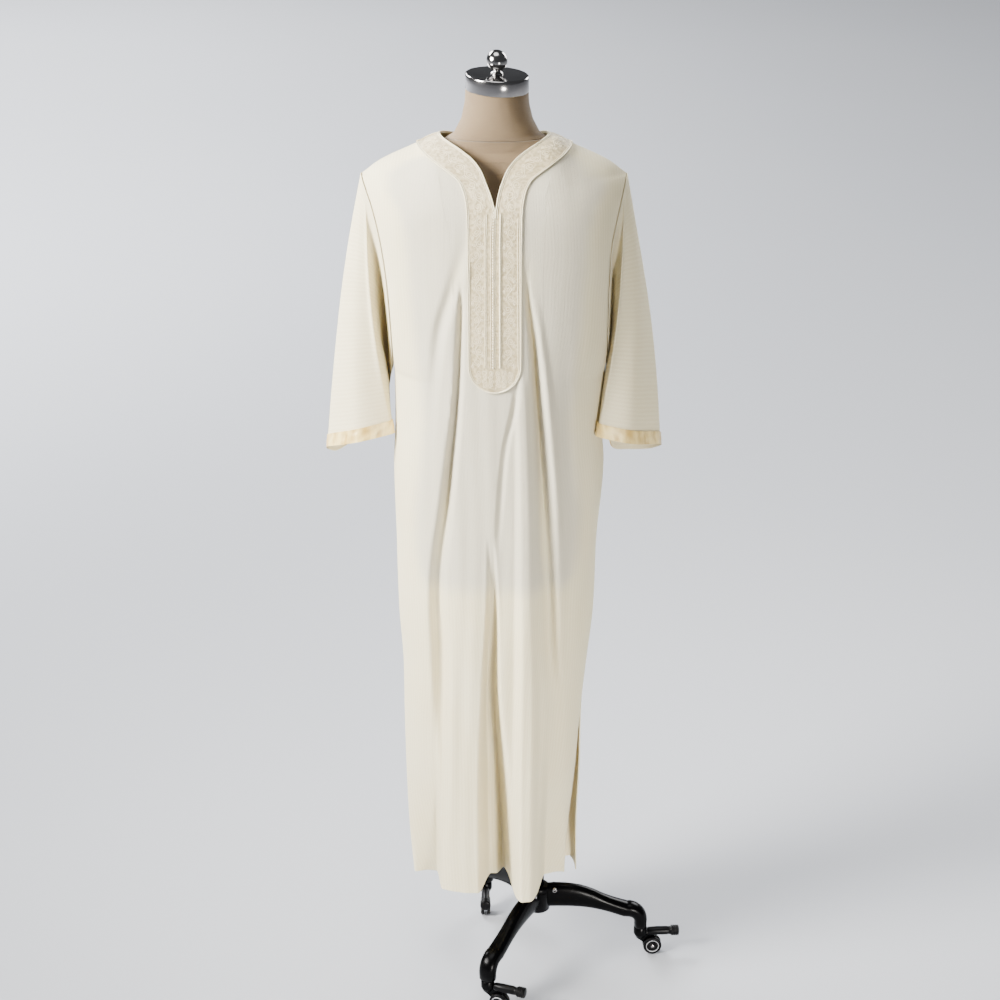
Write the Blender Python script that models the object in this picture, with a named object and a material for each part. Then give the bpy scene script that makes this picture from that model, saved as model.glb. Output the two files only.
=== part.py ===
# A long embroidered robe with a slit neck and elbow sleeves, hung on a limbless dress form.
# The form stands on a pole with three cast legs, each on a swivel castor with a brake pedal.
# Lengths are metres, +Z is up and the front of the robe looks along -Y.
# Sizes below are the robe's own: across is X from the robe's middle, out is away from the form.

import bpy
import bmesh
import numpy as np
from math import acos, asin, cos, pi, radians, sin, tan
from mathutils import Matrix, Vector

ROBE_AT = (-0.027, 0.007)        # the robe's middle, from the middle of the whole part
SEAM_GAP = 0.0003                # clear space between two pieces that are sewn or pressed together

# Cloth
CLOTH = 0.0012                   # thickness of the cotton
RIBBON = 0.0010                  # thickness of the bands and of the satin cuffs
BAND_LIFT = CLOTH / 2 + 2 * SEAM_GAP + RIBBON / 2

# Shoulders, neck and armholes
TIP_ACROSS = 0.223               # shoulder seam's outer end
NECK_ACROSS = 0.091              # shoulder seam's inner end
SHOULDER_DROP = 0.110            # how far down the shoulder rounds over into the chest
SHOULDER_ARC = 0.173             # the same round, along the cloth
ARMHOLE_LOW, ARMHOLE_TOP, ARMHOLE_DEEP = 1.215, 1.552, 0.058
SLIT_TOP = 0.56                  # the side seams are open below this height
HEM = 0.205

# How finely the panels are divided: columns beside the neck and within it on each half, then rows
FRONT_COLUMNS, FRONT_ROWS = (13, 8), 26
BACK_COLUMNS, BACK_ROWS = (9, 6), 20
NECK_POWER, ROW_POWER = 1.25, 1.25   # over 1: closer towards the slit and the shoulders

# Front band and its long placket
NECK_MIDDLE = -0.004
SLIT_LOW, V_LOW = 1.248, 1.515
PLACKET_HALF = 0.045

# Tables: one row for each height, lowest first
BODY = dict(
    height=(0.205, 0.30, 0.42, 0.56, 0.66, 0.76, 0.90, 1.03, 1.12, 1.22, 1.36, 1.44, 1.50, 1.552),
    half=(0.155, 0.158, 0.162, 0.164, 0.169, 0.177, 0.180, 0.186, 0.181, 0.184, 0.187, 0.194, 0.207, 0.223),
    middle=(-0.004, -0.008, -0.008, -0.008, -0.004, -0.002, -0.001, 0.003, 0.002, 0.005, 0.002, -0.001, -0.002, -0.005),
    front=(0.104, 0.108, 0.114, 0.121, 0.125, 0.129, 0.131, 0.131, 0.130, 0.129, 0.128, 0.125, 0.120, 0.110),
    back=(0.128, 0.131, 0.134, 0.136, 0.137, 0.137, 0.135, 0.130, 0.125, 0.121, 0.119, 0.118, 0.115, 0.108),
)
SHOULDER_LINE = dict(across=(0.0, 0.091, 0.137, 0.192, 0.223), height=(1.6175, 1.618, 1.599, 1.574, 1.552))
NECKLINE = dict(across=(0.0, 0.0075, 0.0225, 0.0465, 0.091), height=(V_LOW, 1.543, 1.576, 1.597, 1.618))
BACK_NECKLINE = dict(across=(0.0, 0.030, 0.060, 0.091), height=(1.594, 1.598, 1.607, 1.618))

# Folds: each has rows of height, across, half of its width and how far it stands out (less than 0: how deep it goes in)
# flat is the share of its width that is level before it slopes away.
FRONT_FOLDS = (
    dict(name="slanting crease", flat=0.0, rows=((1.45, -0.048, 0.010, 0.0), (1.38, -0.075, 0.011, -0.006),
         (1.31, -0.096, 0.011, -0.006), (1.24, -0.106, 0.010, 0.0))),
    dict(name="left trough", flat=0.0, rows=((1.42, -0.058, 0.008, 0.0), (1.36, -0.060, 0.009, -0.004),
         (1.19, -0.068, 0.012, -0.010), (1.04, -0.083, 0.015, -0.017), (0.855, -0.104, 0.019, -0.020),
         (0.70, -0.102, 0.021, -0.022), (0.50, -0.101, 0.018, -0.012), (HEM, -0.104, 0.014, 0.0))),
    dict(name="left side tuck", flat=0.72, rows=((0.62, -0.146, 0.040, 0.0), (0.45, -0.146, 0.042, -0.018),
         (0.30, -0.146, 0.043, -0.046), (HEM, -0.146, 0.043, -0.066))),
    dict(name="middle trough", flat=0.30, rows=((0.94, -0.012, 0.009, 0.0), (0.865, -0.009, 0.011, -0.008),
         (0.778, -0.009, 0.014, -0.024), (0.62, -0.012, 0.020, -0.046), (0.416, -0.007, 0.031, -0.064),
         (HEM, -0.001, 0.037, -0.074))),
    dict(name="middle trough's deep side", flat=0.20, rows=((0.62, 0.000, 0.014, 0.0), (0.416, 0.010, 0.018, -0.012),
         (HEM, 0.017, 0.020, -0.024))),
    dict(name="right ridge", flat=0.25, rows=((1.25, 0.038, 0.012, 0.0), (1.19, 0.042, 0.014, 0.004),
         (1.006, 0.048, 0.019, 0.008), (0.817, 0.051, 0.023, 0.011), (0.62, 0.054, 0.026, 0.016),
         (0.416, 0.053, 0.027, 0.022), (HEM, 0.054, 0.027, 0.034))),
    dict(name="right trough", flat=0.0, rows=((1.42, 0.048, 0.007, 0.0), (1.365, 0.052, 0.008, -0.005),
         (1.295, 0.061, 0.011, -0.011), (1.19, 0.068, 0.014, -0.020), (1.043, 0.078, 0.018, -0.024),
         (0.931, 0.084, 0.020, -0.020), (0.817, 0.090, 0.021, -0.021), (0.70, 0.095, 0.022, -0.015),
         (0.60, 0.103, 0.022, -0.009), (0.45, 0.106, 0.022, 0.0))),
    dict(name="right trough's outer lip", flat=0.0, rows=((1.38, 0.062, 0.008, 0.0), (1.30, 0.074, 0.009, 0.003),
         (1.19, 0.087, 0.011, 0.006), (1.04, 0.101, 0.012, 0.006), (0.93, 0.108, 0.012, 0.004), (0.82, 0.114, 0.013, 0.0))),
    dict(name="right side tuck", flat=0.62, rows=((0.60, 0.122, 0.042, 0.0), (0.45, 0.122, 0.044, -0.015),
         (0.30, 0.120, 0.045, -0.040), (HEM, 0.118, 0.045, -0.058))),
    dict(name="small crease", flat=0.0, rows=((1.25, 0.034, 0.008, 0.0), (1.19, 0.032, 0.009, -0.004),
         (1.10, 0.014, 0.009, -0.004), (0.98, 0.004, 0.009, -0.003), (0.893, 0.000, 0.008, 0.0))),
)
BACK_FOLDS = (
    dict(name="left back trough", flat=0.1, rows=((1.25, -0.072, 0.012, 0.0), (1.05, -0.080, 0.016, -0.010),
         (0.80, -0.088, 0.020, -0.018), (0.50, -0.092, 0.024, -0.030), (HEM, -0.094, 0.027, -0.042))),
    dict(name="left back ridge", flat=0.1, rows=((1.15, -0.046, 0.016, 0.0), (0.80, -0.050, 0.022, 0.008),
         (HEM, -0.052, 0.028, 0.022))),
    dict(name="middle back trough", flat=0.1, rows=((0.98, 0.006, 0.014, 0.0), (0.75, 0.002, 0.019, -0.018),
         (0.45, -0.004, 0.026, -0.038), (HEM, -0.008, 0.030, -0.052))),
    dict(name="right back ridge", flat=0.1, rows=((1.10, 0.048, 0.016, 0.0), (0.75, 0.050, 0.022, 0.010),
         (HEM, 0.046, 0.027, 0.020))),
    dict(name="right back trough", flat=0.1, rows=((1.30, 0.078, 0.012, 0.0), (1.02, 0.088, 0.017, -0.014),
         (0.70, 0.094, 0.021, -0.022), (HEM, 0.096, 0.027, -0.036))),
)

# Sleeves: the cuff's edge, a point for each eighth of the way round from the underarm, by the front crease
CUFF_WEST = dict(
    across=(-0.192, -0.192, -0.184, -0.246, -0.300, -0.288, -0.246, -0.208),
    deep=(-0.006, -0.026, -0.042, -0.052, 0.004, 0.046, 0.060, 0.036),
    height=(1.098, 1.098, 1.099, 1.086, 1.058, 1.036, 1.058, 1.085),
)
CUFF_EAST = dict(
    across=(0.197, 0.195, 0.174, 0.236, 0.289, 0.277, 0.238, 0.208),
    deep=(-0.002, -0.036, -0.071, -0.060, 0.012, 0.050, 0.060, 0.034),
    height=(1.096, 1.099, 1.104, 1.086, 1.060, 1.038, 1.033, 1.046),
)
ARMHOLE_TURN = (0.0, 0.21, 0.42, 0.46, 0.50, 0.56, 0.62, 0.82, 1.0)   # the armhole's share at each eighth
SLEEVE_OFF = 0.0022              # from the body's armhole edge to the sleeve's
SLEEVE_CLEAR = 0.006             # how far the underarm swings clear of the body's side
SLEEVE_SIDES, SLEEVE_ROWS = 32, 11
SLEEVE_BOW = 0.010               # how far the outer edge bows out
INNER_RECESS = 0.050             # how far the shaded inner layer lies behind the front crease
CUFF_SHARE = 0.948               # the ribbon covers the rest of the sleeve's length

# Dress form: rows of height, half-width, front and back
FORM = (
    (0.832, 0.146, 0.102, 0.106), (0.90, 0.157, 0.108, 0.118), (0.97, 0.160, 0.106, 0.120), (1.06, 0.149, 0.095, 0.110),
    (1.14, 0.141, 0.092, 0.101), (1.24, 0.149, 0.101, 0.101), (1.33, 0.159, 0.111, 0.105), (1.41, 0.163, 0.112, 0.106),
    (1.47, 0.168, 0.103, 0.103), (1.51, 0.180, 0.091, 0.095), (1.535, 0.197, 0.077, 0.082), (1.562, 0.197, 0.063, 0.069),
    (1.581, 0.167, 0.052, 0.058), (1.595, 0.126, 0.048, 0.052), (1.608, 0.094, 0.048, 0.050), (1.620, 0.073, 0.050, 0.050),
    (1.645, 0.060, 0.051, 0.051), (1.672, 0.054, 0.051, 0.052), (1.6925, 0.053, 0.052, 0.052),
)   # its shoulders carry the robe
NECK_PITCH, NECK_ROLL = tan(radians(4)), tan(radians(3))   # the neck's cut leans forward and to one side
CAP_RADIUS, CAP_LOW, CAP_TOP = 0.0535, 1.6928, 1.7187
KNOB = ((0.0, 0.0090), (0.0035, 0.0090), (0.0050, 0.0062))  # height over the cap and radius of the knob's foot
BALL_RADIUS, BALL_OVER = 0.0176, 0.0215

# Stand
HUB_AT, HUB_RADIUS, HUB_LOW, HUB_TOP = (0.079, 0.006), 0.022, 0.104, 0.160
POLE_RADIUS = 0.011
PLATE_LOW, PLATE_TOP = 0.8235, 0.8317
LEG_REACH = 0.200
LEG = (   # out from the hub, height of the middle, half-height, half-width
    (0.0223, 0.1335, 0.0240, 0.0125), (0.044, 0.1325, 0.0215, 0.0125), (0.068, 0.1285, 0.0150, 0.0115),
    (0.105, 0.1190, 0.0095, 0.0105), (0.140, 0.1085, 0.0095, 0.0105), (0.170, 0.1000, 0.0110, 0.0115),
)
LEG_TURN = 0.026                 # radius of the bend down to the castor
LEG_FOOT = 0.0603
LEGS = dict(east=(2, 3), back=(121, -90), front=(-119, -22))   # the way each leg and its castor point, in degrees

# Castors: TRAIL is from the swivel to the wheel's middle, WHEEL_CUT is half of the groove between its two halves
CUP_RADIUS, CUP_LOW, CUP_TOP = 0.0115, 0.0400, 0.0600
TRAIL, WHEEL_RADIUS, WHEEL_CUT, WHEEL_HALF, AXLE_RADIUS = 0.024, 0.018, 0.0029, 0.0095, 0.0030
CHEEK_HALF, AXLE_SLACK = 0.0026, 0.0003
CHEEK_EDGE = ((0.033, 0.014), (0.035, 0.026), (0.028, 0.038), (0.018, 0.0402), (0.0145, 0.0415), (0.004, 0.0415),
              (-0.006, 0.0395), (-0.007, 0.034), (0.012, 0.020))   # out from the swivel and height, between the wheel's halves
PEDAL_FROM, PEDAL_TO, PEDAL_MIDDLE = 0.0132, 0.0760, 0.0480
PEDAL_BAR, PEDAL_NECK, PEDAL_TREAD = 0.0062, 0.0052, 0.0077   # radii along the brake's lever
WHEEL_SIDES = 16


def clear_scene():
    for thing in list(bpy.data.objects):
        bpy.data.objects.remove(thing, do_unlink=True)


def finish(name, colour, roughness, metallic=0.0):
    """A plain material in the piece's own colour."""
    found = bpy.data.materials.get(name)
    if found:
        return found
    material = bpy.data.materials.new(name)
    material.use_nodes = True
    shader = material.node_tree.nodes["Principled BSDF"]
    shader.inputs["Base Color"].default_value = (*colour, 1)
    shader.inputs["Roughness"].default_value = roughness
    shader.inputs["Metallic"].default_value = metallic
    return material


def ivory_cotton():
    return finish("ivory cotton", (0.83, 0.80, 0.68), 0.8)


def cream_embroidery():
    return finish("cream embroidery", (0.80, 0.72, 0.52), 0.6)


def gold_satin():
    return finish("pale gold satin", (0.86, 0.72, 0.42), 0.3)


def beige_linen():
    return finish("beige linen", (0.55, 0.45, 0.32), 0.9)


def chrome():
    return finish("chrome", (0.75, 0.75, 0.76), 0.15, 1.0)


def black_gloss():
    return finish("black gloss", (0.01, 0.01, 0.011), 0.2)


# Smooth readings of the tables

def through(xs, ys, x):
    """A smooth curve through the rows of a table, level before the first and after the last."""
    if x <= xs[0]:
        return ys[0]
    if x >= xs[-1]:
        return ys[-1]
    i = int(np.searchsorted(xs, x, side="right")) - 1
    last = len(xs) - 1

    def slope(k):
        a, b = max(k - 1, 0), min(k + 1, last)
        return (ys[b] - ys[a]) / (xs[b] - xs[a])
    span = xs[i + 1] - xs[i]
    t = (x - xs[i]) / span
    start, end = slope(i) * span, slope(i + 1) * span
    return ((2 * t ** 3 - 3 * t ** 2 + 1) * ys[i] + (t ** 3 - 2 * t ** 2 + t) * start
            + (3 * t ** 2 - 2 * t ** 3) * ys[i + 1] + (t ** 3 - t ** 2) * end)


def body_size(column, z):
    return through(BODY["height"], BODY[column], z)


def fold_relief(folds, x, z):
    """How far the folds stand out at this place."""
    relief = 0.0
    for fold in folds:
        rows = sorted(fold["rows"])
        heights = [row[0] for row in rows]
        if not heights[0] <= z <= heights[-1]:
            continue
        at, half, out = (through(heights, [row[k] for row in rows], z) for k in (1, 2, 3))
        away = (abs(x - at) / half - fold["flat"]) / (1 - fold["flat"])
        relief += out * (0.5 + 0.5 * cos(pi * min(max(away, 0.0), 1.0)))
    return relief


def slit_open(z):
    """0 where the side seam is sewn, 1 at the hem."""
    return min(max((SLIT_TOP - z) / (SLIT_TOP - HEM), 0.0), 1.0)


# The robe's body: u is -1 to 1 from side to side, q is how far down the cloth from the shoulder line

def shoulder_height(u):
    return through(SHOULDER_LINE["across"], SHOULDER_LINE["height"], TIP_ACROSS * abs(u))


def down_from(q):
    """How far below the shoulder line, and the share of the body's depth that is reached there."""
    if q < SHOULDER_ARC:
        turn = q / SHOULDER_ARC * pi / 2
        return SHOULDER_DROP * (1 - cos(turn)), sin(turn)
    return SHOULDER_DROP + q - SHOULDER_ARC, 1.0


def along_for(u, z):
    """The length q that reaches height z."""
    fall = shoulder_height(u) - z
    if fall >= SHOULDER_DROP:
        return SHOULDER_ARC + fall - SHOULDER_DROP
    return acos(1 - max(fall, 0.0) / SHOULDER_DROP) / (pi / 2) * SHOULDER_ARC


def side_depth(z):
    """How far the armhole's edge lies in front of the side, and 0 along the side seam."""
    middle, half = (ARMHOLE_LOW + ARMHOLE_TOP) / 2, (ARMHOLE_TOP - ARMHOLE_LOW) / 2
    share = 1 - ((z - middle) / half) ** 2
    return ARMHOLE_DEEP * share ** 0.5 if share > 0 else 0.0


def body_point(u, q, face):
    """A point of the body's cloth: face is -1 on the front, 1 on the back."""
    fall, reach = down_from(q)
    z = shoulder_height(u) - fall
    opened = slit_open(z)
    drawn_in = opened * (0.024 if face * u < 0 else 0.0)
    half = body_size("half", z) - drawn_in * abs(u) ** 6
    x = body_size("middle", z) + half * u
    edge = side_depth(z) + SEAM_GAP + 0.006 * opened
    full = body_size("front" if face < 0 else "back", z) * reach
    round_off = max(1 - abs(u) ** 2.4, 0.0) ** (1 / 2.4)
    folds = FRONT_FOLDS if face < 0 else BACK_FOLDS
    relief = fold_relief(folds, x, z) * (1 - abs(u) ** 8)
    out = edge + (full - edge) * round_off + relief
    return Vector((x, face * out, z))


def body_normal(u, q, face):
    step = 0.002
    du = body_point(min(u + step, 1), q, face) - body_point(max(u - step, -1), q, face)
    dq = body_point(u, q + step, face) - body_point(u, max(q - step, 0), face)
    normal = du.cross(dq)
    if normal.y * face < 0 or (abs(normal.y) < 1e-9 and normal.z < 0):
        normal.negate()
    return normal.normalized()


def neck_top(u, face):
    """The length q at the top of a column: the shoulder seam, or the neck's cut."""
    across = TIP_ACROSS * abs(u)
    if across >= NECK_ACROSS - 1e-6:
        return SEAM_GAP / 2
    line = NECKLINE if face < 0 else BACK_NECKLINE
    return along_for(u, through(line["across"], line["height"], across))


def body_columns(side_count, neck_count):
    """Columns from side to side: even to the neck, then closer towards the slit."""
    neck = NECK_ACROSS / TIP_ACROSS
    outer = [-1 + (1 - neck) * k / side_count for k in range(side_count)]
    inner = [-neck * (1 - k / neck_count) ** NECK_POWER for k in range(neck_count)]
    return outer + inner + [0.0] + [-u for u in reversed(outer + inner)]


def body_grid(face, side_count, neck_count, row_count):
    rows = []
    for i in range(row_count + 1):
        share = (i / row_count) ** ROW_POWER
        row = []
        for u in body_columns(side_count, neck_count):
            top, low = neck_top(u, face), along_for(u, HEM)
            row.append(body_point(u, top + (low - top) * share, face))
        rows.append(row)
    return rows


# Meshes

def mesh_object(name, points, faces, material, smooth=True):
    mesh = bpy.data.meshes.new(name)
    mesh.from_pydata([tuple(p) for p in points], [], faces)
    work = bmesh.new()
    work.from_mesh(mesh)
    bmesh.ops.recalc_face_normals(work, faces=work.faces)
    work.to_mesh(mesh)
    work.free()
    if smooth:
        mesh.shade_smooth()
        mesh.set_sharp_from_angle(angle=radians(35))
    mesh.materials.append(material)
    thing = bpy.data.objects.new(name, mesh)
    bpy.context.collection.objects.link(thing)
    return thing


def cloth_wall(name, grid, thickness, material, closed=False):
    """A wall of even thickness on a grid of points; closed joins each row's last point to its first."""
    count = len(grid[0])
    points = [p for row in grid for p in row]
    faces = []
    for i in range(len(grid) - 1):
        for j in range(count if closed else count - 1):
            k = (j + 1) % count
            a, b, c, d = i * count + j, i * count + k, (i + 1) * count + k, (i + 1) * count + j
            faces += [(a, b, c), (a, c, d)]
    wall = mesh_object(name, points, faces, material)
    solid = wall.modifiers.new("thickness", "SOLIDIFY")
    solid.thickness = thickness
    solid.offset = 0
    return wall


def closed_rings(name, rings, material, smooth=True):
    """A closed solid through rings of equal count, with flat ends."""
    count = len(rings[0])
    points = [p for ring in rings for p in ring]
    faces = [tuple(reversed(range(count)))]
    for i in range(len(rings) - 1):
        for j in range(count):
            k = (j + 1) % count
            faces.append((i * count + j, i * count + k, (i + 1) * count + k, (i + 1) * count + j))
    faces.append(tuple(range((len(rings) - 1) * count, len(rings) * count)))
    return mesh_object(name, points, faces, material, smooth)


def turned(name, profile, material, sides, place=Matrix()):
    """A solid of revolution about Z from rows of height and radius."""
    rings = []
    for height, radius in profile:
        turns = (2 * pi * k / sides for k in range(sides))
        rings.append([place @ Vector((radius * cos(t), radius * sin(t), height)) for t in turns])
    return closed_rings(name, rings, material)


# The robe's pieces

def make_panels():
    cloth_wall("front_panel", body_grid(-1, *FRONT_COLUMNS, FRONT_ROWS), CLOTH, ivory_cotton())
    cloth_wall("back_panel", body_grid(1, *BACK_COLUMNS, BACK_ROWS), CLOTH, ivory_cotton())


def armhole_point(side, turn):
    """A point of the sleeve's own edge at the armhole: turn 0 is the underarm, 0.5 the shoulder tip."""
    middle, half = (ARMHOLE_LOW + ARMHOLE_TOP) / 2, (ARMHOLE_TOP - ARMHOLE_LOW) / 2
    z = middle - half * cos(2 * pi * turn)
    across = body_size("half", z) + SLEEVE_OFF
    return Vector((body_size("middle", z) + side * across, -ARMHOLE_DEEP * sin(2 * pi * turn), z))


def round_table(values, turn):
    """A smooth reading of eight values spaced evenly round a loop."""
    return through([k / 8 for k in range(-2, 11)], [values[k % 8] for k in range(-2, 11)], turn)


def sleeve_point(side, turn, v):
    """A point of the sleeve: turn goes round from the underarm by the front, v from the armhole to the cuff."""
    cuff = CUFF_WEST if side < 0 else CUFF_EAST
    start = armhole_point(side, float(np.interp(turn, [k / 8 for k in range(9)], ARMHOLE_TURN)))
    end = Vector([round_table(cuff[column], turn) for column in ("across", "deep", "height")])
    point = start.lerp(end, v)
    outer = max(cos(2 * pi * (turn - 0.5)), 0.0)
    point.x += side * SLEEVE_BOW * outer * sin(pi * v)
    point.x += side * SLEEVE_CLEAR * (1 - outer) * sin(pi * v)
    if 0 < turn < 0.25:
        point.y += INNER_RECESS * sin(pi * turn / 0.25) * sin(pi * v) * (1 - v)
    return point


def moved_out(ring, lift):
    """A level ring of points moved out by lift from each of its sides."""
    count = len(ring)
    middle = sum(ring, Vector()) / count
    outs = []
    for k in range(count):
        along = ring[(k + 1) % count] - ring[k]
        outs.append(Vector((along.y, -along.x, 0)).normalized())
    if sum(out.dot(p - middle) for out, p in zip(outs, ring)) < 0:
        outs = [-out for out in outs]
    moved = []
    for k, point in enumerate(ring):
        corner = (outs[k - 1] + outs[k]).normalized()
        moved.append(point + corner * (lift / max(corner.dot(outs[k]), 0.35)))
    return moved


def make_sleeves():
    for name, side in (("sleeve_west", -1), ("sleeve_east", 1)):
        turns = [k / SLEEVE_SIDES for k in range(SLEEVE_SIDES)]
        shares = [CUFF_SHARE * i / (SLEEVE_ROWS - 1) for i in range(SLEEVE_ROWS)] + [1.0]
        rows = [[sleeve_point(side, turn, v) for turn in turns] for v in shares]
        cloth_wall(name, rows, CLOTH, ivory_cotton(), closed=True)
        ribbon = [moved_out([sleeve_point(side, turn, v) for turn in turns], BAND_LIFT) for v in (CUFF_SHARE, 1.0)]
        cloth_wall(name.replace("sleeve", "cuff"), ribbon, RIBBON, gold_satin(), closed=True)


# The band's outer edge from the shoulder seam down to the placket: rows of distance from the neck's middle and height
BAND_OUTER = ((0.131, 1.640), (0.131, 1.602), (0.113, 1.591), (0.093, 1.580), (0.076, 1.570), (0.062, 1.560),
              (0.053, 1.545), (0.048, 1.525), (0.0455, 1.495), (PLACKET_HALF, 1.450))
BACK_OUTER = ((0.131, 1.640), (0.131, 1.602), (0.113, 1.588), (0.090, 1.573), (0.060, 1.558), (0.030, 1.549),
              (0.0, 1.546))


def upright_cutter(name, outline):
    """A closed prism with this outline of across and height, long in Y."""
    rings = [[Vector((x, y, z)) for x, z in outline] for y in (-0.30, 0.30)]
    cutter = closed_rings(name, rings, ivory_cotton(), smooth=False)
    cutter.hide_render = True
    cutter.display_type = "WIRE"
    return cutter


def band_from_panel(name, face, outline, lowest, columns, row_count):
    """The panel's own points, moved out, kept only inside the outline."""
    rows = []
    for i in range(row_count + 1):
        row = []
        for u in columns:
            top, low = neck_top(u, face), along_for(u, HEM)
            q = top + (low - top) * (i / row_count) ** ROW_POWER
            row.append(body_point(u, q, face) + body_normal(u, q, face) * BAND_LIFT)
        rows.append(row)
        if all(p.z < lowest for p in row):
            break
    wall = cloth_wall(name, rows, RIBBON, cream_embroidery())
    cut = wall.modifiers.new("outline", "BOOLEAN")
    cut.operation = "INTERSECT"
    cut.solver = "EXACT"
    cut.object = upright_cutter(f"{name} outline", outline)


def make_bands():
    near = [u for u in body_columns(*FRONT_COLUMNS) if abs(u) * TIP_ACROSS < 0.150]
    arc = [radians(90) * k / 8 for k in range(9)]
    round_end = [(PLACKET_HALF * cos(t), SLIT_LOW - PLACKET_HALF * sin(t)) for t in arc]
    for name, side in (("neck_band_west", -1), ("neck_band_east", 1)):
        edge = BAND_OUTER + tuple(round_end[:-1]) + ((SEAM_GAP / 2, SLIT_LOW - PLACKET_HALF), (SEAM_GAP / 2, 1.640))
        outline = [(NECK_MIDDLE + side * across, z) for across, z in edge]
        band_from_panel(name, -1, outline, SLIT_LOW - PLACKET_HALF, near, FRONT_ROWS)
    near = [u for u in body_columns(*BACK_COLUMNS) if abs(u) * TIP_ACROSS < 0.160]
    mirrored = [(-across, z) for across, z in reversed(BACK_OUTER[:-1])]
    outline = [(NECK_MIDDLE + across, z) for across, z in BACK_OUTER + tuple(mirrored)]
    band_from_panel("neck_band_back", 1, outline, BACK_OUTER[-1][1], near, BACK_ROWS)


# The dress form

def oval(z, half, front, back, count=32, lean=0.0):
    ring = []
    for k in range(count):
        t = 2 * pi * k / count
        x, y = half * cos(t), (back if sin(t) > 0 else front) * sin(t)
        ring.append(Vector((x, y, z + lean * (y * NECK_PITCH - x * NECK_ROLL))))
    return ring


def make_form():
    neck_from = 1.645
    rings = []
    for z, half, front, back in FORM:
        lean = min(max((z - neck_from) / (FORM[-1][0] - neck_from), 0.0), 1.0)
        rings.append(oval(z, half, front, back, lean=lean))
    closed_rings("form_torso", rings, beige_linen())
    low, half, front, back = FORM[0]
    inset = 0.97
    plate = [oval(z, half * inset, front * inset, back * inset) for z in (PLATE_LOW, PLATE_TOP)]
    closed_rings("form_base_plate", plate, black_gloss())
    cap = [oval(z, radius, radius, radius, 32, 1.0) for z, radius in
           ((CAP_LOW, CAP_RADIUS), (CAP_TOP - 0.0012, CAP_RADIUS), (CAP_TOP, CAP_RADIUS - 0.0012))]
    closed_rings("neck_cap", cap, chrome())
    foot = [(CAP_TOP + SEAM_GAP + up, radius) for up, radius in KNOB]
    middle = CAP_TOP + SEAM_GAP + BALL_OVER
    turn_low = -asin(1) + asin(KNOB[-1][1] / BALL_RADIUS)
    ball = []
    for k in range(9):
        turn = turn_low + (radians(84) - turn_low) * k / 8
        ball.append((middle + BALL_RADIUS * sin(turn), BALL_RADIUS * cos(turn)))
    rings = [oval(z, radius, radius, radius, 16, 1.0) for z, radius in foot + ball]
    closed_rings("neck_knob", rings, chrome())


# The stand

def hub_matrix(angle):
    return Matrix.Translation((HUB_AT[0], HUB_AT[1], 0)) @ Matrix.Rotation(radians(angle), 4, "Z")


def leg_stations():
    """Places along a leg's middle line with its slope: out, height, half-height, half-width and turn in radians."""
    rows = []
    for k, (out, z, tall, wide) in enumerate(LEG):
        before, after = LEG[max(k - 1, 0)], LEG[min(k + 1, len(LEG) - 1)]
        slope = 0.0 if k == 0 else (after[1] - before[1]) / (after[0] - before[0])
        rows.append((out, z, tall, wide, slope))
    start_out, start_z, tall, wide, slope = rows[-1]
    middle_out, middle_z = LEG_REACH - LEG_TURN, start_z - LEG_TURN
    for k in range(1, 5):
        turn = pi / 2 * k / 4
        rows.append((middle_out + LEG_TURN * sin(turn), middle_z + LEG_TURN * cos(turn), 0.0108, 0.0112, -turn))
    rows.append((LEG_REACH, LEG_FOOT, 0.0108, 0.0112, -pi / 2))
    return rows


def make_stand():
    place = Matrix.Translation((HUB_AT[0], HUB_AT[1], 0))
    turned("pole", ((HUB_TOP + SEAM_GAP, POLE_RADIUS), (PLATE_LOW - SEAM_GAP, POLE_RADIUS)), black_gloss(), 20, place)
    turned("hub", ((HUB_LOW, HUB_RADIUS - 0.002), (HUB_LOW + 0.003, HUB_RADIUS), (HUB_TOP - 0.004, HUB_RADIUS),
                   (HUB_TOP, HUB_RADIUS - 0.005)), black_gloss(), 24, place)
    for name, (angle, castor_angle) in LEGS.items():
        matrix = hub_matrix(angle)
        rings = []
        for out, z, tall, wide, turn in leg_stations():
            ring = []
            for k in range(12):
                t = 2 * pi * k / 12
                up, aside = tall * sin(t), wide * cos(t)
                ring.append(matrix @ Vector((out - up * sin(turn), aside, z + up * cos(turn))))
            rings.append(ring)
        closed_rings(f"leg_{name}", rings, black_gloss())
        axis = matrix @ Vector((LEG_REACH, 0, 0))
        make_castor(name, Matrix.Translation((axis.x, axis.y, 0)) @ Matrix.Rotation(radians(castor_angle), 4, "Z"))


def plate_outline(outline, half, name, place):
    """A plate with the given outline, standing in the castor's middle plane."""
    rings = [[place @ Vector((out, aside, z)) for out, z in outline] for aside in (-half, half)]
    return closed_rings(name, rings, black_gloss(), smooth=False)


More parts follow.
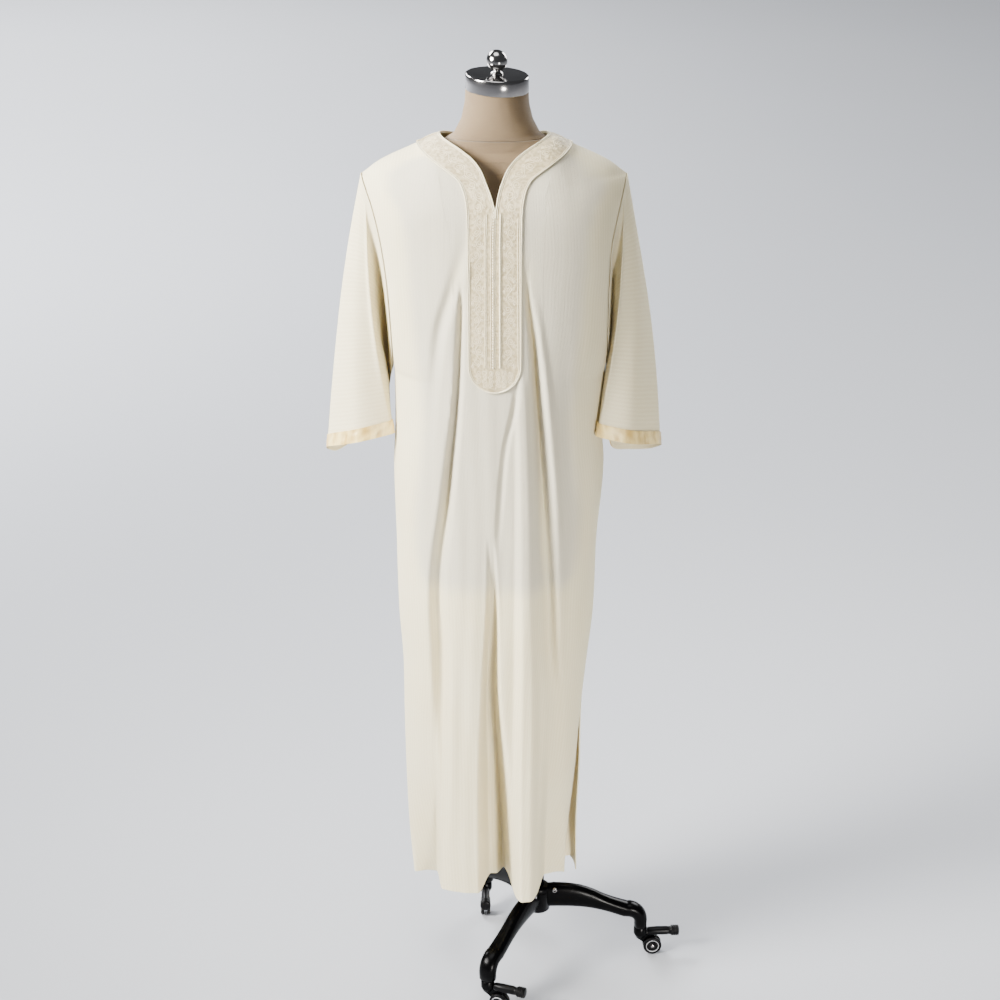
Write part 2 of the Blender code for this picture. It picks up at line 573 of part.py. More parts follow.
def make_castor(name, place):
    cup = turned(f"castor_{name}", ((CUP_LOW - 0.004, 0.0085), (CUP_LOW + 0.002, CUP_RADIUS),
                                    (CUP_TOP - 0.004, CUP_RADIUS), (CUP_TOP, 0.0085)), black_gloss(), 16, place)
    notch = AXLE_RADIUS + AXLE_SLACK
    arc = [(TRAIL + notch * cos(radians(a)), WHEEL_RADIUS + notch * sin(radians(a))) for a in range(180, -1, -30)]
    outline = [(TRAIL + notch, 0.010), *CHEEK_EDGE, (TRAIL - notch, 0.010), *arc]
    cheek = plate_outline(outline, CHEEK_HALF, f"cheek_{name}", place)
    cheek.hide_render = True
    cheek.display_type = "WIRE"
    union = cup.modifiers.new("cheek", "BOOLEAN")
    union.operation = "UNION"
    union.solver = "EXACT"
    union.object = cheek
    across = place @ Matrix.Translation((TRAIL, 0, WHEEL_RADIUS)) @ Matrix.Rotation(pi / 2, 4, "X")
    across = across @ Matrix.Rotation(pi / WHEEL_SIDES, 4, "Z")
    rim = WHEEL_RADIUS / cos(pi / WHEEL_SIDES)
    half = ((WHEEL_CUT, AXLE_RADIUS), (WHEEL_CUT, rim - 0.001), (WHEEL_CUT + 0.0005, rim), (WHEEL_HALF - 0.0015, rim),
            (WHEEL_HALF, rim - 0.002))
    profile = tuple((-aside, radius) for aside, radius in reversed(half)) + half
    turned(f"wheel_{name}", profile, black_gloss(), WHEEL_SIDES, across)
    make_pedal(name, place)


def make_pedal(name, place):
    """The brake's lever: a bar with a round tread at its end."""
    rings = []
    rows = ((PEDAL_FROM, PEDAL_NECK), (PEDAL_FROM + 0.003, PEDAL_BAR), (PEDAL_TO - 0.022, PEDAL_BAR),
            (PEDAL_TO - 0.020, PEDAL_NECK), (PEDAL_TO - 0.017, PEDAL_NECK), (PEDAL_TO - 0.015, PEDAL_TREAD - 0.0008),
            (PEDAL_TO - 0.002, PEDAL_TREAD), (PEDAL_TO, PEDAL_TREAD - 0.0018))
    for out, radius in rows:
        ring = []
        for k in range(12):
            t = 2 * pi * k / 12
            ring.append(place @ Vector((out, radius * cos(t), PEDAL_MIDDLE + radius * sin(t))))
        rings.append(ring)
    closed_rings(f"pedal_{name}", rings, black_gloss())


def stand_at_origin():
    """Everything hangs from one empty, so that the part's own middle is at the origin."""
    anchor = bpy.data.objects.new("robe middle", None)
    anchor.location = (ROBE_AT[0], ROBE_AT[1], 0)
    bpy.context.collection.objects.link(anchor)
    for thing in list(bpy.data.objects):
        if thing is not anchor:
            thing.parent = anchor


clear_scene()
make_panels()
make_sleeves()
make_bands()
make_form()
make_stand()
stand_at_origin()
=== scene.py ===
# The looks of a long embroidered robe on a limbless dress form with a castor stand.
# Lengths are metres in the part's own frame: +Z is up and the robe's front looks along -Y.
# u goes from -1 to 1 from side to side, q is how far down the cloth from the shoulder line,
# and face is -1 on the front and 1 on the back.

from math import asin, cos, pi, radians, sin, tan

import bpy
import bmesh
import numpy as np
from mathutils import Matrix, Vector


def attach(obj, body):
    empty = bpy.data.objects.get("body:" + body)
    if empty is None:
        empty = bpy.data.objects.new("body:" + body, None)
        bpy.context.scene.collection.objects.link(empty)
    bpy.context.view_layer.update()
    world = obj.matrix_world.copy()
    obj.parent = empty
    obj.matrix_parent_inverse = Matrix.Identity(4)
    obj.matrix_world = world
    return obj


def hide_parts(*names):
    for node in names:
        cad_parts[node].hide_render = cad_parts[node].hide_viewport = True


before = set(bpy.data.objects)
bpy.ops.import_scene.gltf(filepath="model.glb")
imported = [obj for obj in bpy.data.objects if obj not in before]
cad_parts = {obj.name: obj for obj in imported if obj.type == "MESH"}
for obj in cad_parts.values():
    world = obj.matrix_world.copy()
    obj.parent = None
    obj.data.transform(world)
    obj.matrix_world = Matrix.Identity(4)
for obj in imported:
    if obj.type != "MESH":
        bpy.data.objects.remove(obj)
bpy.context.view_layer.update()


def metres(**columns):
    """A table that is given in millimetres."""
    return {name: np.array(values) / 1000 for name, values in columns.items()}


BODY_OF_ROBE = "robe_and_stand"
ROBE_AT = np.array((-0.027, 0.007, 0.0))   # the robe's middle, from the middle of the whole part

# Cloth
CLOTH, HEM_CLOTH, HEM_DEPTH = 0.0009, 0.0020, 0.012
RIBBON, RIBBON_WIDTH, BAND_LIFT = 0.0010, 0.024, 0.0017
BAND_TOP = BAND_LIFT + RIBBON / 2
SEAM = 0.00015                   # half of the clear space between two sewn pieces

# Shoulders, neck, armholes and slits
TIP_ACROSS, NECK_ACROSS = 0.223, 0.091
SHOULDER_DROP, SHOULDER_ARC = 0.110, 0.173
ARMHOLE_LOW, ARMHOLE_TOP, ARMHOLE_DEEP = 1.215, 1.552, 0.058
ARMHOLE_MIDDLE, ARMHOLE_HALF = (ARMHOLE_LOW + ARMHOLE_TOP) / 2, (ARMHOLE_TOP - ARMHOLE_LOW) / 2
SLIT_TOP, HEM = 0.56, 0.205
NECK_MIDDLE, SLIT_LOW, V_LOW, PLACKET_HALF = -0.004, 1.248, 1.515, 0.045
BACK_CORNER_DROP = 0.014         # how much lower the back's hem hangs at its east corner

BODY = metres(
    height=(205, 300, 420, 560, 660, 760, 900, 1030, 1120, 1220, 1360, 1440, 1500, 1552),
    half=(155, 158, 162, 164, 169, 177, 180, 186, 181, 184, 187, 194, 207, 223),
    middle=(-4, -8, -8, -8, -4, -2, -1, 3, 2, 5, 2, -1, -2, -5),
    front=(104, 108, 114, 121, 125, 129, 131, 131, 130, 129, 128, 125, 120, 110),
    back=(128, 131, 134, 136, 137, 137, 135, 130, 125, 121, 119, 118, 115, 108),
)
SHOULDER_LINE = metres(across=(0, 91, 137, 192, 223), height=(1617.5, 1618, 1599, 1574, 1552))
NECKLINE = metres(across=(0, 7.5, 22.5, 46.5, 91), height=(1515, 1543, 1576, 1597, 1618))
BACK_NECKLINE = metres(across=(0, 30, 60, 91), height=(1594, 1598, 1607, 1618))

# Folds: the share of the width that is level, then rows in millimetres of height, across, half of the
# width and how far it stands out. A fold that reaches the hem ends at 205.
FRONT_FOLDS = (
    # slanting crease and its lip
    (0.0, ((1520, -44, 22, 0), (1450, -56, 19, -1.5), (1380, -76, 17, -4.5), (1310, -96, 16, -6.2),
           (1220, -107, 15, -3), (1100, -114, 14, 0))),
    (0.0, ((1540, -34, 20, 0), (1460, -42, 17, 0.8), (1400, -55, 15, 1.8), (1330, -74, 14, 1.8), (1220, -90, 13, 0))),
    # left trough and its sharp crease
    (0.0, ((1420, -58, 8, 0), (1360, -60, 9, -4), (1190, -68, 12, -10), (1040, -83, 15, -17), (855, -104, 19, -20),
           (700, -102, 21, -22), (500, -101, 18, -12), (205, -104, 14, 0))),
    (0.0, ((1400, -60, 4, 0), (1330, -61.5, 6, -4), (1220, -67, 8, -7), (1080, -79, 10, -7), (930, -95, 11, 0))),
    # left side tuck
    (0.72, ((620, -146, 40, 0), (450, -146, 42, -18), (300, -146, 43, -46), (205, -146, 43, -66))),
    # middle trough and its deep side
    (0.30, ((940, -12, 9, 0), (865, -9, 11, -8), (778, -9, 14, -24), (620, -12, 20, -46), (416, -7, 31, -64),
            (205, -1, 37, -74))),
    (0.20, ((620, 0, 14, 0), (416, 10, 18, -12), (205, 17, 20, -24))),
    # right ridge
    (0.25, ((1250, 38, 12, 0), (1190, 42, 14, 4), (1006, 48, 19, 8), (817, 51, 23, 11), (620, 54, 26, 16),
            (416, 53, 27, 22), (205, 54, 27, 34))),
    # right trough, its outer lip and its sharp crease
    (0.0, ((1420, 48, 7, 0), (1365, 52, 8, -5), (1295, 61, 11, -11), (1190, 68, 14, -20), (1043, 78, 18, -24),
           (931, 84, 20, -20), (817, 90, 21, -21), (700, 95, 22, -15), (600, 103, 22, -9), (450, 106, 22, 0))),
    (0.0, ((1380, 62, 8, 0), (1300, 74, 9, 3), (1190, 87, 11, 6), (1040, 101, 12, 6), (930, 108, 12, 4),
           (820, 114, 13, 0))),
    (0.0, ((1400, 49, 4, 0), (1330, 54, 6, -7), (1250, 62, 8, -11), (1150, 69, 9, -10), (1050, 76, 10, -6),
           (920, 84, 11, 0))),
    # right side tuck
    (0.62, ((600, 122, 42, 0), (450, 122, 44, -15), (300, 120, 45, -40), (205, 118, 45, -58))),
    # small crease below the placket
    (0.0, ((1250, 34, 8, 0), (1190, 32, 9, -4), (1100, 14, 9, -4), (980, 4, 9, -3), (893, 0, 8, 0))),
)
BACK_FOLDS = (
    # left trough and ridge
    (0.1, ((1250, -72, 12, 0), (1050, -80, 16, -10), (800, -88, 20, -18), (500, -92, 24, -30), (205, -94, 27, -42))),
    (0.1, ((1150, -46, 16, 0), (800, -50, 22, 8), (205, -52, 28, 22))),
    # middle trough
    (0.1, ((980, 6, 14, 0), (750, 2, 19, -18), (450, -4, 26, -38), (205, -8, 30, -52))),
    # right ridge and trough
    (0.1, ((1100, 48, 16, 0), (750, 50, 22, 10), (205, 46, 27, 20))),
    (0.1, ((1300, 78, 12, 0), (1020, 88, 17, -14), (700, 94, 21, -22), (205, 96, 27, -36))),
    # right corner, drawn in
    (0.5, ((600, 130, 34, 0), (420, 128, 38, -34), (205, 126, 42, -74))),
)

# Sleeves: the cuff's edge, a point for each eighth of the way round from the underarm, by the front crease
CUFF_WEST = metres(
    across=(-192, -192, -184, -246, -300, -288, -246, -208),
    deep=(-6, -26, -42, -52, 4, 46, 60, 36),
    height=(1098, 1098, 1099, 1086, 1058, 1036, 1058, 1085),
)
CUFF_EAST = metres(
    across=(197, 195, 174, 236, 289, 277, 238, 208),
    deep=(-2, -36, -71, -60, 12, 50, 60, 34),
    height=(1096, 1099, 1104, 1086, 1060, 1038, 1033, 1046),
)
ARMHOLE_TURN = (0.0, 0.21, 0.42, 0.46, 0.50, 0.56, 0.62, 0.82, 1.0)   # the armhole's share at each eighth
SLEEVE_OFF, SLEEVE_CLEAR, SLEEVE_BOW, INNER_RECESS, CUFF_SHARE = 0.0022, 0.006, 0.010, 0.094, 0.948
CREASE_OUT, CREASE_FRONT = 0.006, 0.006     # how far the sleeve's front crease stands out and forward

# The bands' outer edges from the shoulder seam, and how many rows and columns a band's grid has
BAND_OUTER = metres(distance=(131, 113, 93, 76, 62, 53, 48, 46),
                    height=(1602, 1591, 1580, 1570, 1560, 1545, 1525, 1505))
BACK_OUTER = metres(distance=(131, 113, 90, 60, 30, 0), height=(1602, 1588, 1573, 1558, 1549, 1546))
NECK_ROWS, STRAIGHT_ROWS, END_ROWS, BAND_COLUMNS = 70, 90, 30, 17
STRAIGHT_END = NECK_ROWS + STRAIGHT_ROWS

# Dress form: heights, half-widths, fronts and backs
FORM = np.transpose((
    (832, 146, 102, 106), (900, 157, 108, 118), (970, 160, 106, 120), (1060, 149, 95, 110), (1140, 141, 92, 101),
    (1240, 149, 101, 101), (1330, 159, 111, 105), (1410, 163, 112, 106), (1470, 168, 103, 103), (1510, 180, 91, 95),
    (1535, 197, 77, 82), (1562, 197, 63, 69), (1581, 167, 52, 58), (1595, 126, 48, 52), (1608, 94, 48, 50),
    (1620, 73, 50, 50), (1645, 60, 51, 51), (1672, 54, 51, 52), (1692.5, 53, 52, 52),
)) / 1000
FORM_LOW, FORM_TOP = FORM[0][0], FORM[0][-1]
NECK_PITCH, NECK_ROLL, NECK_FROM, NECK_SEAM = tan(radians(4)), tan(radians(3)), 1.645, 1.614
CAP_RADIUS, CAP_LOW, CAP_TOP = 0.0535, 1.6928, 1.7187
BALL_RADIUS, BALL_OVER = 0.0176, 0.0218

# Stand
HUB_AT, HUB_RADIUS, HUB_LOW, HUB_TOP = (0.079, 0.006), 0.022, 0.104, 0.160
POLE_RADIUS, POLE_TOP = 0.011, 0.8232
LEG_REACH, LEG_TURN, LEG_FOOT, LEG_ROWS = 0.200, 0.026, 0.0603, 48
LEG = np.transpose((   # out from the hub, height of the middle, half-height, half-width
    (16, 135, 25, 13), (44, 135, 25, 13.4), (74, 131.8, 23.2, 13.8), (98, 126, 20.2, 14), (118, 118.8, 17, 14.2),
    (140, 110.8, 15, 15), (170, 100, 15, 16.4),
)) / 1000
LEGS = dict(east=(2, 3), back=(121, -90), front=(-119, -22))   # the way each leg and its castor point, in degrees
TRAIL, WHEEL_RADIUS, WHEEL_CUT, WHEEL_HALF = 0.024, 0.018, 0.0029, 0.0095
PEDAL_FROM, PEDAL_TO, PEDAL_MIDDLE = 0.0132, 0.0760, 0.0480


# Shader maths

class Value:
    """A shader's number, vector or colour that can be reckoned with."""

    def __init__(self, finish, socket):
        self.finish, self.socket = finish, socket

    def math(self, operation, *values):
        return self.finish.node("ShaderNodeMath", dict(operation=operation), *values)

    def __add__(self, other):
        return self.math("ADD", self, other)

    def __sub__(self, other):
        return self.math("SUBTRACT", self, other)

    def __rsub__(self, other):
        return self.math("SUBTRACT", other, self)

    def __mul__(self, other):
        return self.math("MULTIPLY", self, other)

    def wave(self, length):
        """A smooth wave from 0 to 1 with this length."""
        return self.math("SINE", self * (2 * pi / length)) * 0.5 + 0.5

    def between(self, low, high):
        """0 at low, 1 at high, smooth in between."""
        return self.finish.node("ShaderNodeMapRange", dict(interpolation_type="SMOOTHSTEP"), self, low, high, 0.0, 1.0)

    def part(self, axis):
        return self.finish.node("ShaderNodeSeparateXYZ", {}, self, out=axis)


class Finish:
    """One material being put together."""

    def __init__(self, name):
        self.material = bpy.data.materials.new(name)
        self.material.use_nodes = True
        self.tree = self.material.node_tree
        self.shader = self.tree.nodes["Principled BSDF"]
        self.output = self.tree.nodes["Material Output"]

    def feed(self, socket, value):
        if isinstance(value, Value):
            self.tree.links.new(value.socket, socket)
        else:
            socket.default_value = value

    def node(self, kind, settings, *values, out=0, first=0, **named):
        """A node of this kind: its settings, then the values or links of its sockets by place or by name."""
        node = self.tree.nodes.new(kind)
        for key, value in settings.items():
            setattr(node, key, value)
        for place, value in [*enumerate(values, first), *named.items()]:
            self.feed(node.inputs[place], value)
        return Value(self, node.outputs[out])

    def object_place(self):
        return self.node("ShaderNodeTexCoord", {}, out=3)

    def cut_place(self):
        """Where a point lies on the flat cloth, in metres."""
        return self.node("ShaderNodeUVMap", dict(uv_map="cut"))

    def noise(self, place, scale, detail=3.0, stretch=(1, 1, 1)):
        spread = self.node("ShaderNodeVectorMath", dict(operation="MULTIPLY"), place, stretch)
        return self.node("ShaderNodeTexNoise", {}, Vector=spread, Scale=scale, Detail=detail)

    def mix(self, share, low, high):
        """The first colour where the share is 0, the second where it is 1."""
        return self.node("ShaderNodeMix", dict(data_type="RGBA"), low, high, first=6, out=2, Factor=share)

    def normal(self):
        """The bump so far, for the next node's own Normal."""
        links = self.shader.inputs["Normal"].links
        return dict(Normal=Value(self, links[0].from_socket)) if links else {}

    def raise_by(self, height, depth, strength=1.0):
        """Bump of this height from 0 to 1, depth metres high."""
        self.surface(Normal=self.node("ShaderNodeBump", {}, Strength=strength, Distance=depth, Height=height,
                                      **self.normal()))

    def surface(self, **values):
        for name, value in values.items():
            self.feed(self.shader.inputs[name.replace("_", " ")], value)

    def let_light_through(self, share, shade):
        """This share of the light goes through the cloth in this colour."""
        glow = self.node("ShaderNodeBsdfTranslucent", {}, Color=shade, **self.normal())
        both = self.node("ShaderNodeMixShader", {}, share, Value(self, self.shader.outputs[0]), glow)
        self.feed(self.output.inputs["Surface"], both)


def colour(red, green, blue):
    return (red, green, blue, 1.0)


def ivory_cotton(name, stripe_axis):
    """Thin cotton with a woven self stripe along the other axis of the cut."""
    finish = Finish(name)
    cut = finish.cut_place()
    across, along = cut.part(stripe_axis), cut.part(1 - stripe_axis)
    slow = (1, 0.06, 1) if stripe_axis == 0 else (0.06, 1, 1)
    slub = finish.noise(cut, 260.0, 3.0, slow)
    broad = finish.noise(cut, 7.0, 2.0)
    stripe = (across.wave(0.0062) * 0.6 + across.wave(0.0021) * 0.4) * 0.55 + slub * 0.45
    weave = across.wave(0.0007) * along.wave(0.0007)
    tint = finish.mix(stripe.between(0.25, 0.75), colour(0.82, 0.725, 0.46), colour(0.90, 0.815, 0.56))
    tint = finish.mix(broad.between(0.3, 0.8) * 0.35, tint, colour(0.89, 0.83, 0.62))
    # Painted shade: the cloth is greyer where the form's shadow shows through it, read from a mask stored on each
    # point.
    behind = finish.node("ShaderNodeAttribute", dict(attribute_name="painted_form_shade"), out=2)
    tint = finish.mix(behind * 0.6, tint, colour(0.54, 0.515, 0.45))
    finish.surface(Base_Color=tint, Roughness=stripe * 0.12 + 0.70, Sheen_Weight=0.12, Sheen_Roughness=0.5,
                   Specular_IOR_Level=0.25)
    finish.raise_by(weave, 0.00012)
    finish.raise_by(stripe, 0.00022)
    finish.raise_by(finish.noise(cut, 34.0, 3.0, slow), 0.0016, 0.5)
    finish.let_light_through(0.20, colour(0.85, 0.74, 0.50))
    return finish.material


def embroidered_ground():
    """The bands' cotton, closely filled with silk thread."""
    finish = Finish("cream embroidered band")
    cut = finish.cut_place()
    swirl = finish.noise(cut, 150.0, 2.0)
    curl = finish.node("ShaderNodeTexVoronoi", dict(feature="SMOOTH_F1"), Vector=cut, Scale=230.0)
    rows = (cut.part(0) + swirl * 0.0016).wave(0.0011)
    filled = curl.between(0.15, 0.75)
    tint = finish.mix(filled, colour(0.40, 0.315, 0.165), colour(0.60, 0.50, 0.295))
    tint = finish.mix(swirl.between(0.45, 0.7) * 0.5, tint, colour(0.49, 0.395, 0.21))
    finish.surface(Base_Color=tint, Roughness=filled * -0.16 + 0.62, Sheen_Weight=0.25)
    finish.raise_by(filled, 0.0007)
    finish.raise_by(rows, 0.00025)
    return finish.material


def silk_thread(name, light, groove_shade, roughness, twist):
    """A shiny twisted thread, painted darker in the grooves between its plies as shade: twist is the length of one turn
    along it.
    """
    finish = Finish(name)
    cut = finish.cut_place()
    ply_height_and_shade = (cut.part(0) * twist + cut.part(1)).wave(twist)
    # Painted shade: the colour goes dark in the grooves between the plies and light on their crests.
    finish.surface(Base_Color=finish.mix(ply_height_and_shade, groove_shade, light), Roughness=ply_height_and_shade * -0.1 + roughness, Sheen_Weight=0.2)
    finish.raise_by(ply_height_and_shade, 0.0003)
    return finish.material


def gold_satin():
    finish = Finish("pale gold satin")
    cut = finish.cut_place()
    crease = finish.noise(cut, 55.0, 3.0, (1, 0.35, 1))
    # Painted shade and highlight: the satin is darker in the hollows of its crumple and lighter on its crests.
    tint = finish.mix(crease.between(0.35, 0.65), colour(0.52, 0.33, 0.075), colour(0.84, 0.64, 0.24))
    finish.surface(Base_Color=tint, Roughness=crease * 0.14 + 0.24, Sheen_Weight=0.15, Specular_IOR_Level=0.75)
    finish.raise_by(cut.part(1).wave(0.0009), 0.00006)
    finish.raise_by(crease, 0.0030, 0.8)
    return finish.material


def beige_linen():
    """Plain weave with slubs, worn in places, and one seam round the neck."""
    finish = Finish("beige linen cover")
    cut = finish.cut_place()
    across, along = cut.part(0), cut.part(1)
    over, under = across.wave(0.0010), along.wave(0.0010)
    weave = over * under + (1 - over) * (1 - under)
    slub = finish.noise(cut, 420.0, 3.0, (0.12, 1, 1))
    worn = finish.noise(finish.object_place(), 9.0, 3.0)
    tint = finish.mix(weave * 0.5 + slub * 0.5, colour(0.135, 0.088, 0.043), colour(0.205, 0.140, 0.072))
    tint = finish.mix(worn.between(0.35, 0.75) * 0.30, tint, colour(0.235, 0.165, 0.090))
    seam = 1 - along.math("ABSOLUTE", along - NECK_SEAM).between(0.0, 0.0014)
    finish.surface(Base_Color=finish.mix(seam * 0.45, tint, colour(0.22, 0.18, 0.13)),
                   Roughness=weave * 0.1 + 0.82, Sheen_Weight=0.15)
    finish.raise_by(weave, 0.00025)
    finish.raise_by(1 - seam, 0.0012)
    return finish.material


def chrome():
    finish = Finish("polished chrome")
    place = finish.object_place()
    brushed = finish.noise(place, 30.0, 4.0, (1, 1, 40))
    smear = finish.noise(place, 25.0, 3.0)
    finish.surface(Base_Color=finish.mix(smear, colour(0.26, 0.25, 0.246), colour(0.40, 0.388, 0.38)), Metallic=1.0,
                   Roughness=brushed * 0.10 + smear * 0.06 + 0.06)
    finish.raise_by(brushed, 0.00003)
    return finish.material


def black_gloss(name, depth=0.0004):
    """Black paint with a light orange peel, dusty in places; depth is how uneven the metal under it is."""
    finish = Finish(name)
    place = finish.object_place()
    dust = finish.noise(place, 36.0, 4.0)
    finish.surface(Base_Color=finish.mix(dust.between(0.5, 0.8) * 0.25, colour(0.0008, 0.0008, 0.0009),
                                         colour(0.006, 0.0057, 0.0055)),
                   Roughness=dust * 0.16 + 0.16, Specular_IOR_Level=0.06)
    finish.raise_by(finish.noise(place, 420.0, 2.0), 0.00008)
    finish.raise_by(finish.noise(place, 60.0, 3.0), depth, 0.5)
    return finish.material


def moulded_plastic(name, shade, roughness, gloss=0.5):
    finish = Finish(name)
    place = finish.object_place()
    scuff = finish.noise(place, 80.0, 4.0)
    low, high = (colour(*(channel * share for channel in shade)) for share in (0.8, 1.25))
    finish.surface(Base_Color=finish.mix(scuff, low, high), Roughness=scuff * 0.2 + roughness, Specular_IOR_Level=gloss)
    finish.raise_by(finish.noise(place, 900.0, 2.0), 0.0001)
    return finish.material


def pale_floor():
    finish = Finish("pale floor")
    place = finish.object_place()
    soft = finish.noise(place, 0.8, 2.0)
    finish.surface(Base_Color=finish.mix(soft, colour(0.395, 0.405, 0.43), colour(0.41, 0.42, 0.445)),
                   Roughness=soft * 0.1 + 0.85)
    finish.raise_by(finish.noise(place, 260.0, 2.0), 0.0003, 0.3)
    return finish.material


# Smooth readings of the tables

def through(xs, ys, x):
    """A smooth curve through the rows of a table, level before the first and after the last."""
    xs, ys = np.asarray(xs, float), np.asarray(ys, float)
    last = len(xs) - 1
    before, after = np.maximum(np.arange(last + 1) - 1, 0), np.minimum(np.arange(last + 1) + 1, last)
    slopes = (ys[after] - ys[before]) / (xs[after] - xs[before])
    held = np.clip(x, xs[0], xs[-1])
    i = np.clip(np.searchsorted(xs, held, side="right") - 1, 0, last - 1)
    span = xs[i + 1] - xs[i]
    t = (held - xs[i]) / span
    return ((2 * t ** 3 - 3 * t ** 2 + 1) * ys[i] + (t ** 3 - 2 * t ** 2 + t) * slopes[i] * span
            + (3 * t ** 2 - 2 * t ** 3) * ys[i + 1] + (t ** 3 - t ** 2) * slopes[i + 1] * span)


def body_size(column, z):
    return through(BODY["height"], BODY[column], z)


def line_height(line, across):
    return through(line["across"], line["height"], across)


def fold_relief(folds, x, z):
    """How far the folds stand out at each place."""
    relief = np.zeros(np.shape(x))
    for flat, rows in folds:
        heights, *columns = np.transpose(sorted(rows)) / 1000
        at, half, out = (through(heights, column, z) for column in columns)
        away = np.clip((abs(x - at) / half - flat) / (1 - flat), 0, 1)
        inside = (z >= heights[0]) & (z <= heights[-1])
        relief = relief + np.where(inside, out * (0.5 + 0.5 * np.cos(pi * away)), 0)
    return relief


def shoulder_height(u):
    return line_height(SHOULDER_LINE, TIP_ACROSS * abs(u))


def along_for(u, z):
    """The length q that reaches height z."""
    fall = shoulder_height(u) - z
    turned = np.arccos(1 - np.clip(fall, 0, SHOULDER_DROP) / SHOULDER_DROP) / (pi / 2) * SHOULDER_ARC
    return np.where(fall >= SHOULDER_DROP, SHOULDER_ARC + fall - SHOULDER_DROP, turned)


def side_depth(z):
    """How far the armhole's edge lies in front of the side, and 0 along the side seam."""
    return ARMHOLE_DEEP * np.maximum(1 - ((z - ARMHOLE_MIDDLE) / ARMHOLE_HALF) ** 2, 0) ** 0.5


def soft_wrinkles(x, z, face):
    """Small drag lines, less than a millimetre or so, that fade out above the chest."""
    low = np.clip((1.40 - z) / 0.5, 0, 1)
    lines = np.sin(x * 210 + 2.1 * np.sin(z * 5.1) + face) * 0.5 + np.sin(x * 121 - 3.0 * np.sin(z * 3.3 + 1.2)) * 0.5
    return 0.0011 * low * lines


def body_point(u, q, face):
    """Points of the body's cloth, which opens a little along the side slits."""
    u, q = np.broadcast_arrays(np.asarray(u, float), np.asarray(q, float))
    turn = np.clip(q / SHOULDER_ARC, 0, 1) * pi / 2
    fall = np.where(q < SHOULDER_ARC, SHOULDER_DROP * (1 - np.cos(turn)), SHOULDER_DROP + q - SHOULDER_ARC)
    z = shoulder_height(u) - fall
    opened = np.clip((SLIT_TOP - z) / (SLIT_TOP - HEM), 0, 1)
    drawn_in = opened * np.where(face * u < 0, 0.024, 0.0)
    half = body_size("half", z) - drawn_in * abs(u) ** 6
    x = body_size("middle", z) + half * u
    edge = side_depth(z) + 0.0003 + 0.006 * opened
    full = body_size("front" if face < 0 else "back", z) * np.sin(turn)
    round_off = np.maximum(1 - abs(u) ** 2.4, 0) ** (1 / 2.4)
    relief = fold_relief(FRONT_FOLDS if face < 0 else BACK_FOLDS, x, z) + soft_wrinkles(x, z, face)
    out = edge * (1 - round_off) ** 1.6 + full * round_off + relief * (1 - abs(u) ** 8)
    return np.stack((x, face * out, z), axis=-1) + ROBE_AT


def body_place(x, z):
    """The u and q of a place on the body that is x from the robe's middle and z high."""
    u = (x - body_size("middle", z)) / body_size("half", z)
    return u, along_for(u, z)


def neck_top(u, face):
    """The length q at the top of a column: the shoulder seam, or the neck's cut."""
    across = TIP_ACROSS * abs(u)
    cut = along_for(u, line_height(NECKLINE if face < 0 else BACK_NECKLINE, across))
    return np.where(across >= NECK_ACROSS - 1e-6, SEAM, np.maximum(cut, SEAM))


# Meshes

def unit(vectors):
    return vectors / np.maximum(np.linalg.norm(vectors, axis=-1, keepdims=True), 1e-12)


def lengths_along(points):
    """How far along a path each of its points is."""
    return np.concatenate(((0,), np.cumsum(np.linalg.norm(np.diff(points, axis=0), axis=1))))


def circle(sides):
    """The angles once round, with the first one again at the end."""
    return 2 * pi * np.arange(sides + 1) / sides


class Weave:
    """A grid of points that a cloth follows, with its outward normals and its lengths both ways."""

    def __init__(self, grid, ring=False, outward=None):
        self.grid, self.ring = grid, ring
        wide = np.concatenate((grid[:, -2:-1], grid, grid[:, 1:2]), axis=1) if ring else grid
        self.normals = np.cross(np.gradient(wide, axis=1), np.gradient(wide, axis=0))
        if ring:
            self.normals = self.normals[:, 1:-1]
        self.normals = unit(self.normals)
        middle = grid.mean(axis=(0, 1)) if outward is None else np.asarray(outward)
        if (self.normals * (grid - middle)).sum() < 0:
            self.normals = -self.normals
        steps_across = np.linalg.norm(np.diff(grid, axis=1), axis=-1)
        steps_down = np.linalg.norm(np.diff(grid, axis=0), axis=-1)
        self.across = np.concatenate((np.zeros((len(grid), 1)), np.cumsum(steps_across, axis=1)), axis=1)
        self.down = np.concatenate((np.zeros((1, grid.shape[1])), np.cumsum(steps_down, axis=0)), axis=0)

    def cut(self):
        """The place of each point on the flat cloth, in metres, measured from the middle column."""
        middle = self.across[:, self.grid.shape[1] // 2][:, None]
        down = np.broadcast_to(self.down.mean(axis=1)[:, None], self.across.shape)
        return np.stack((self.across - middle, down), axis=-1)

    def at(self, row, column, lift=0.0):
        """Points at these rows and columns of the grid, which may lie between its own."""
        rows, columns = self.grid.shape[:2]
        row, column = np.broadcast_arrays(np.clip(row, 0, rows - 1.001), np.clip(column, 0, columns - 1.001))
        i, j = row.astype(int), column.astype(int)
        a, b = (row - i)[..., None], (column - j)[..., None]

        def blend(values):
            top = values[i, j] * (1 - b) + values[i, j + 1] * b
            low = values[i + 1, j] * (1 - b) + values[i + 1, j + 1] * b
            return top * (1 - a) + low * a
        return blend(self.grid) + unit(blend(self.normals)) * lift


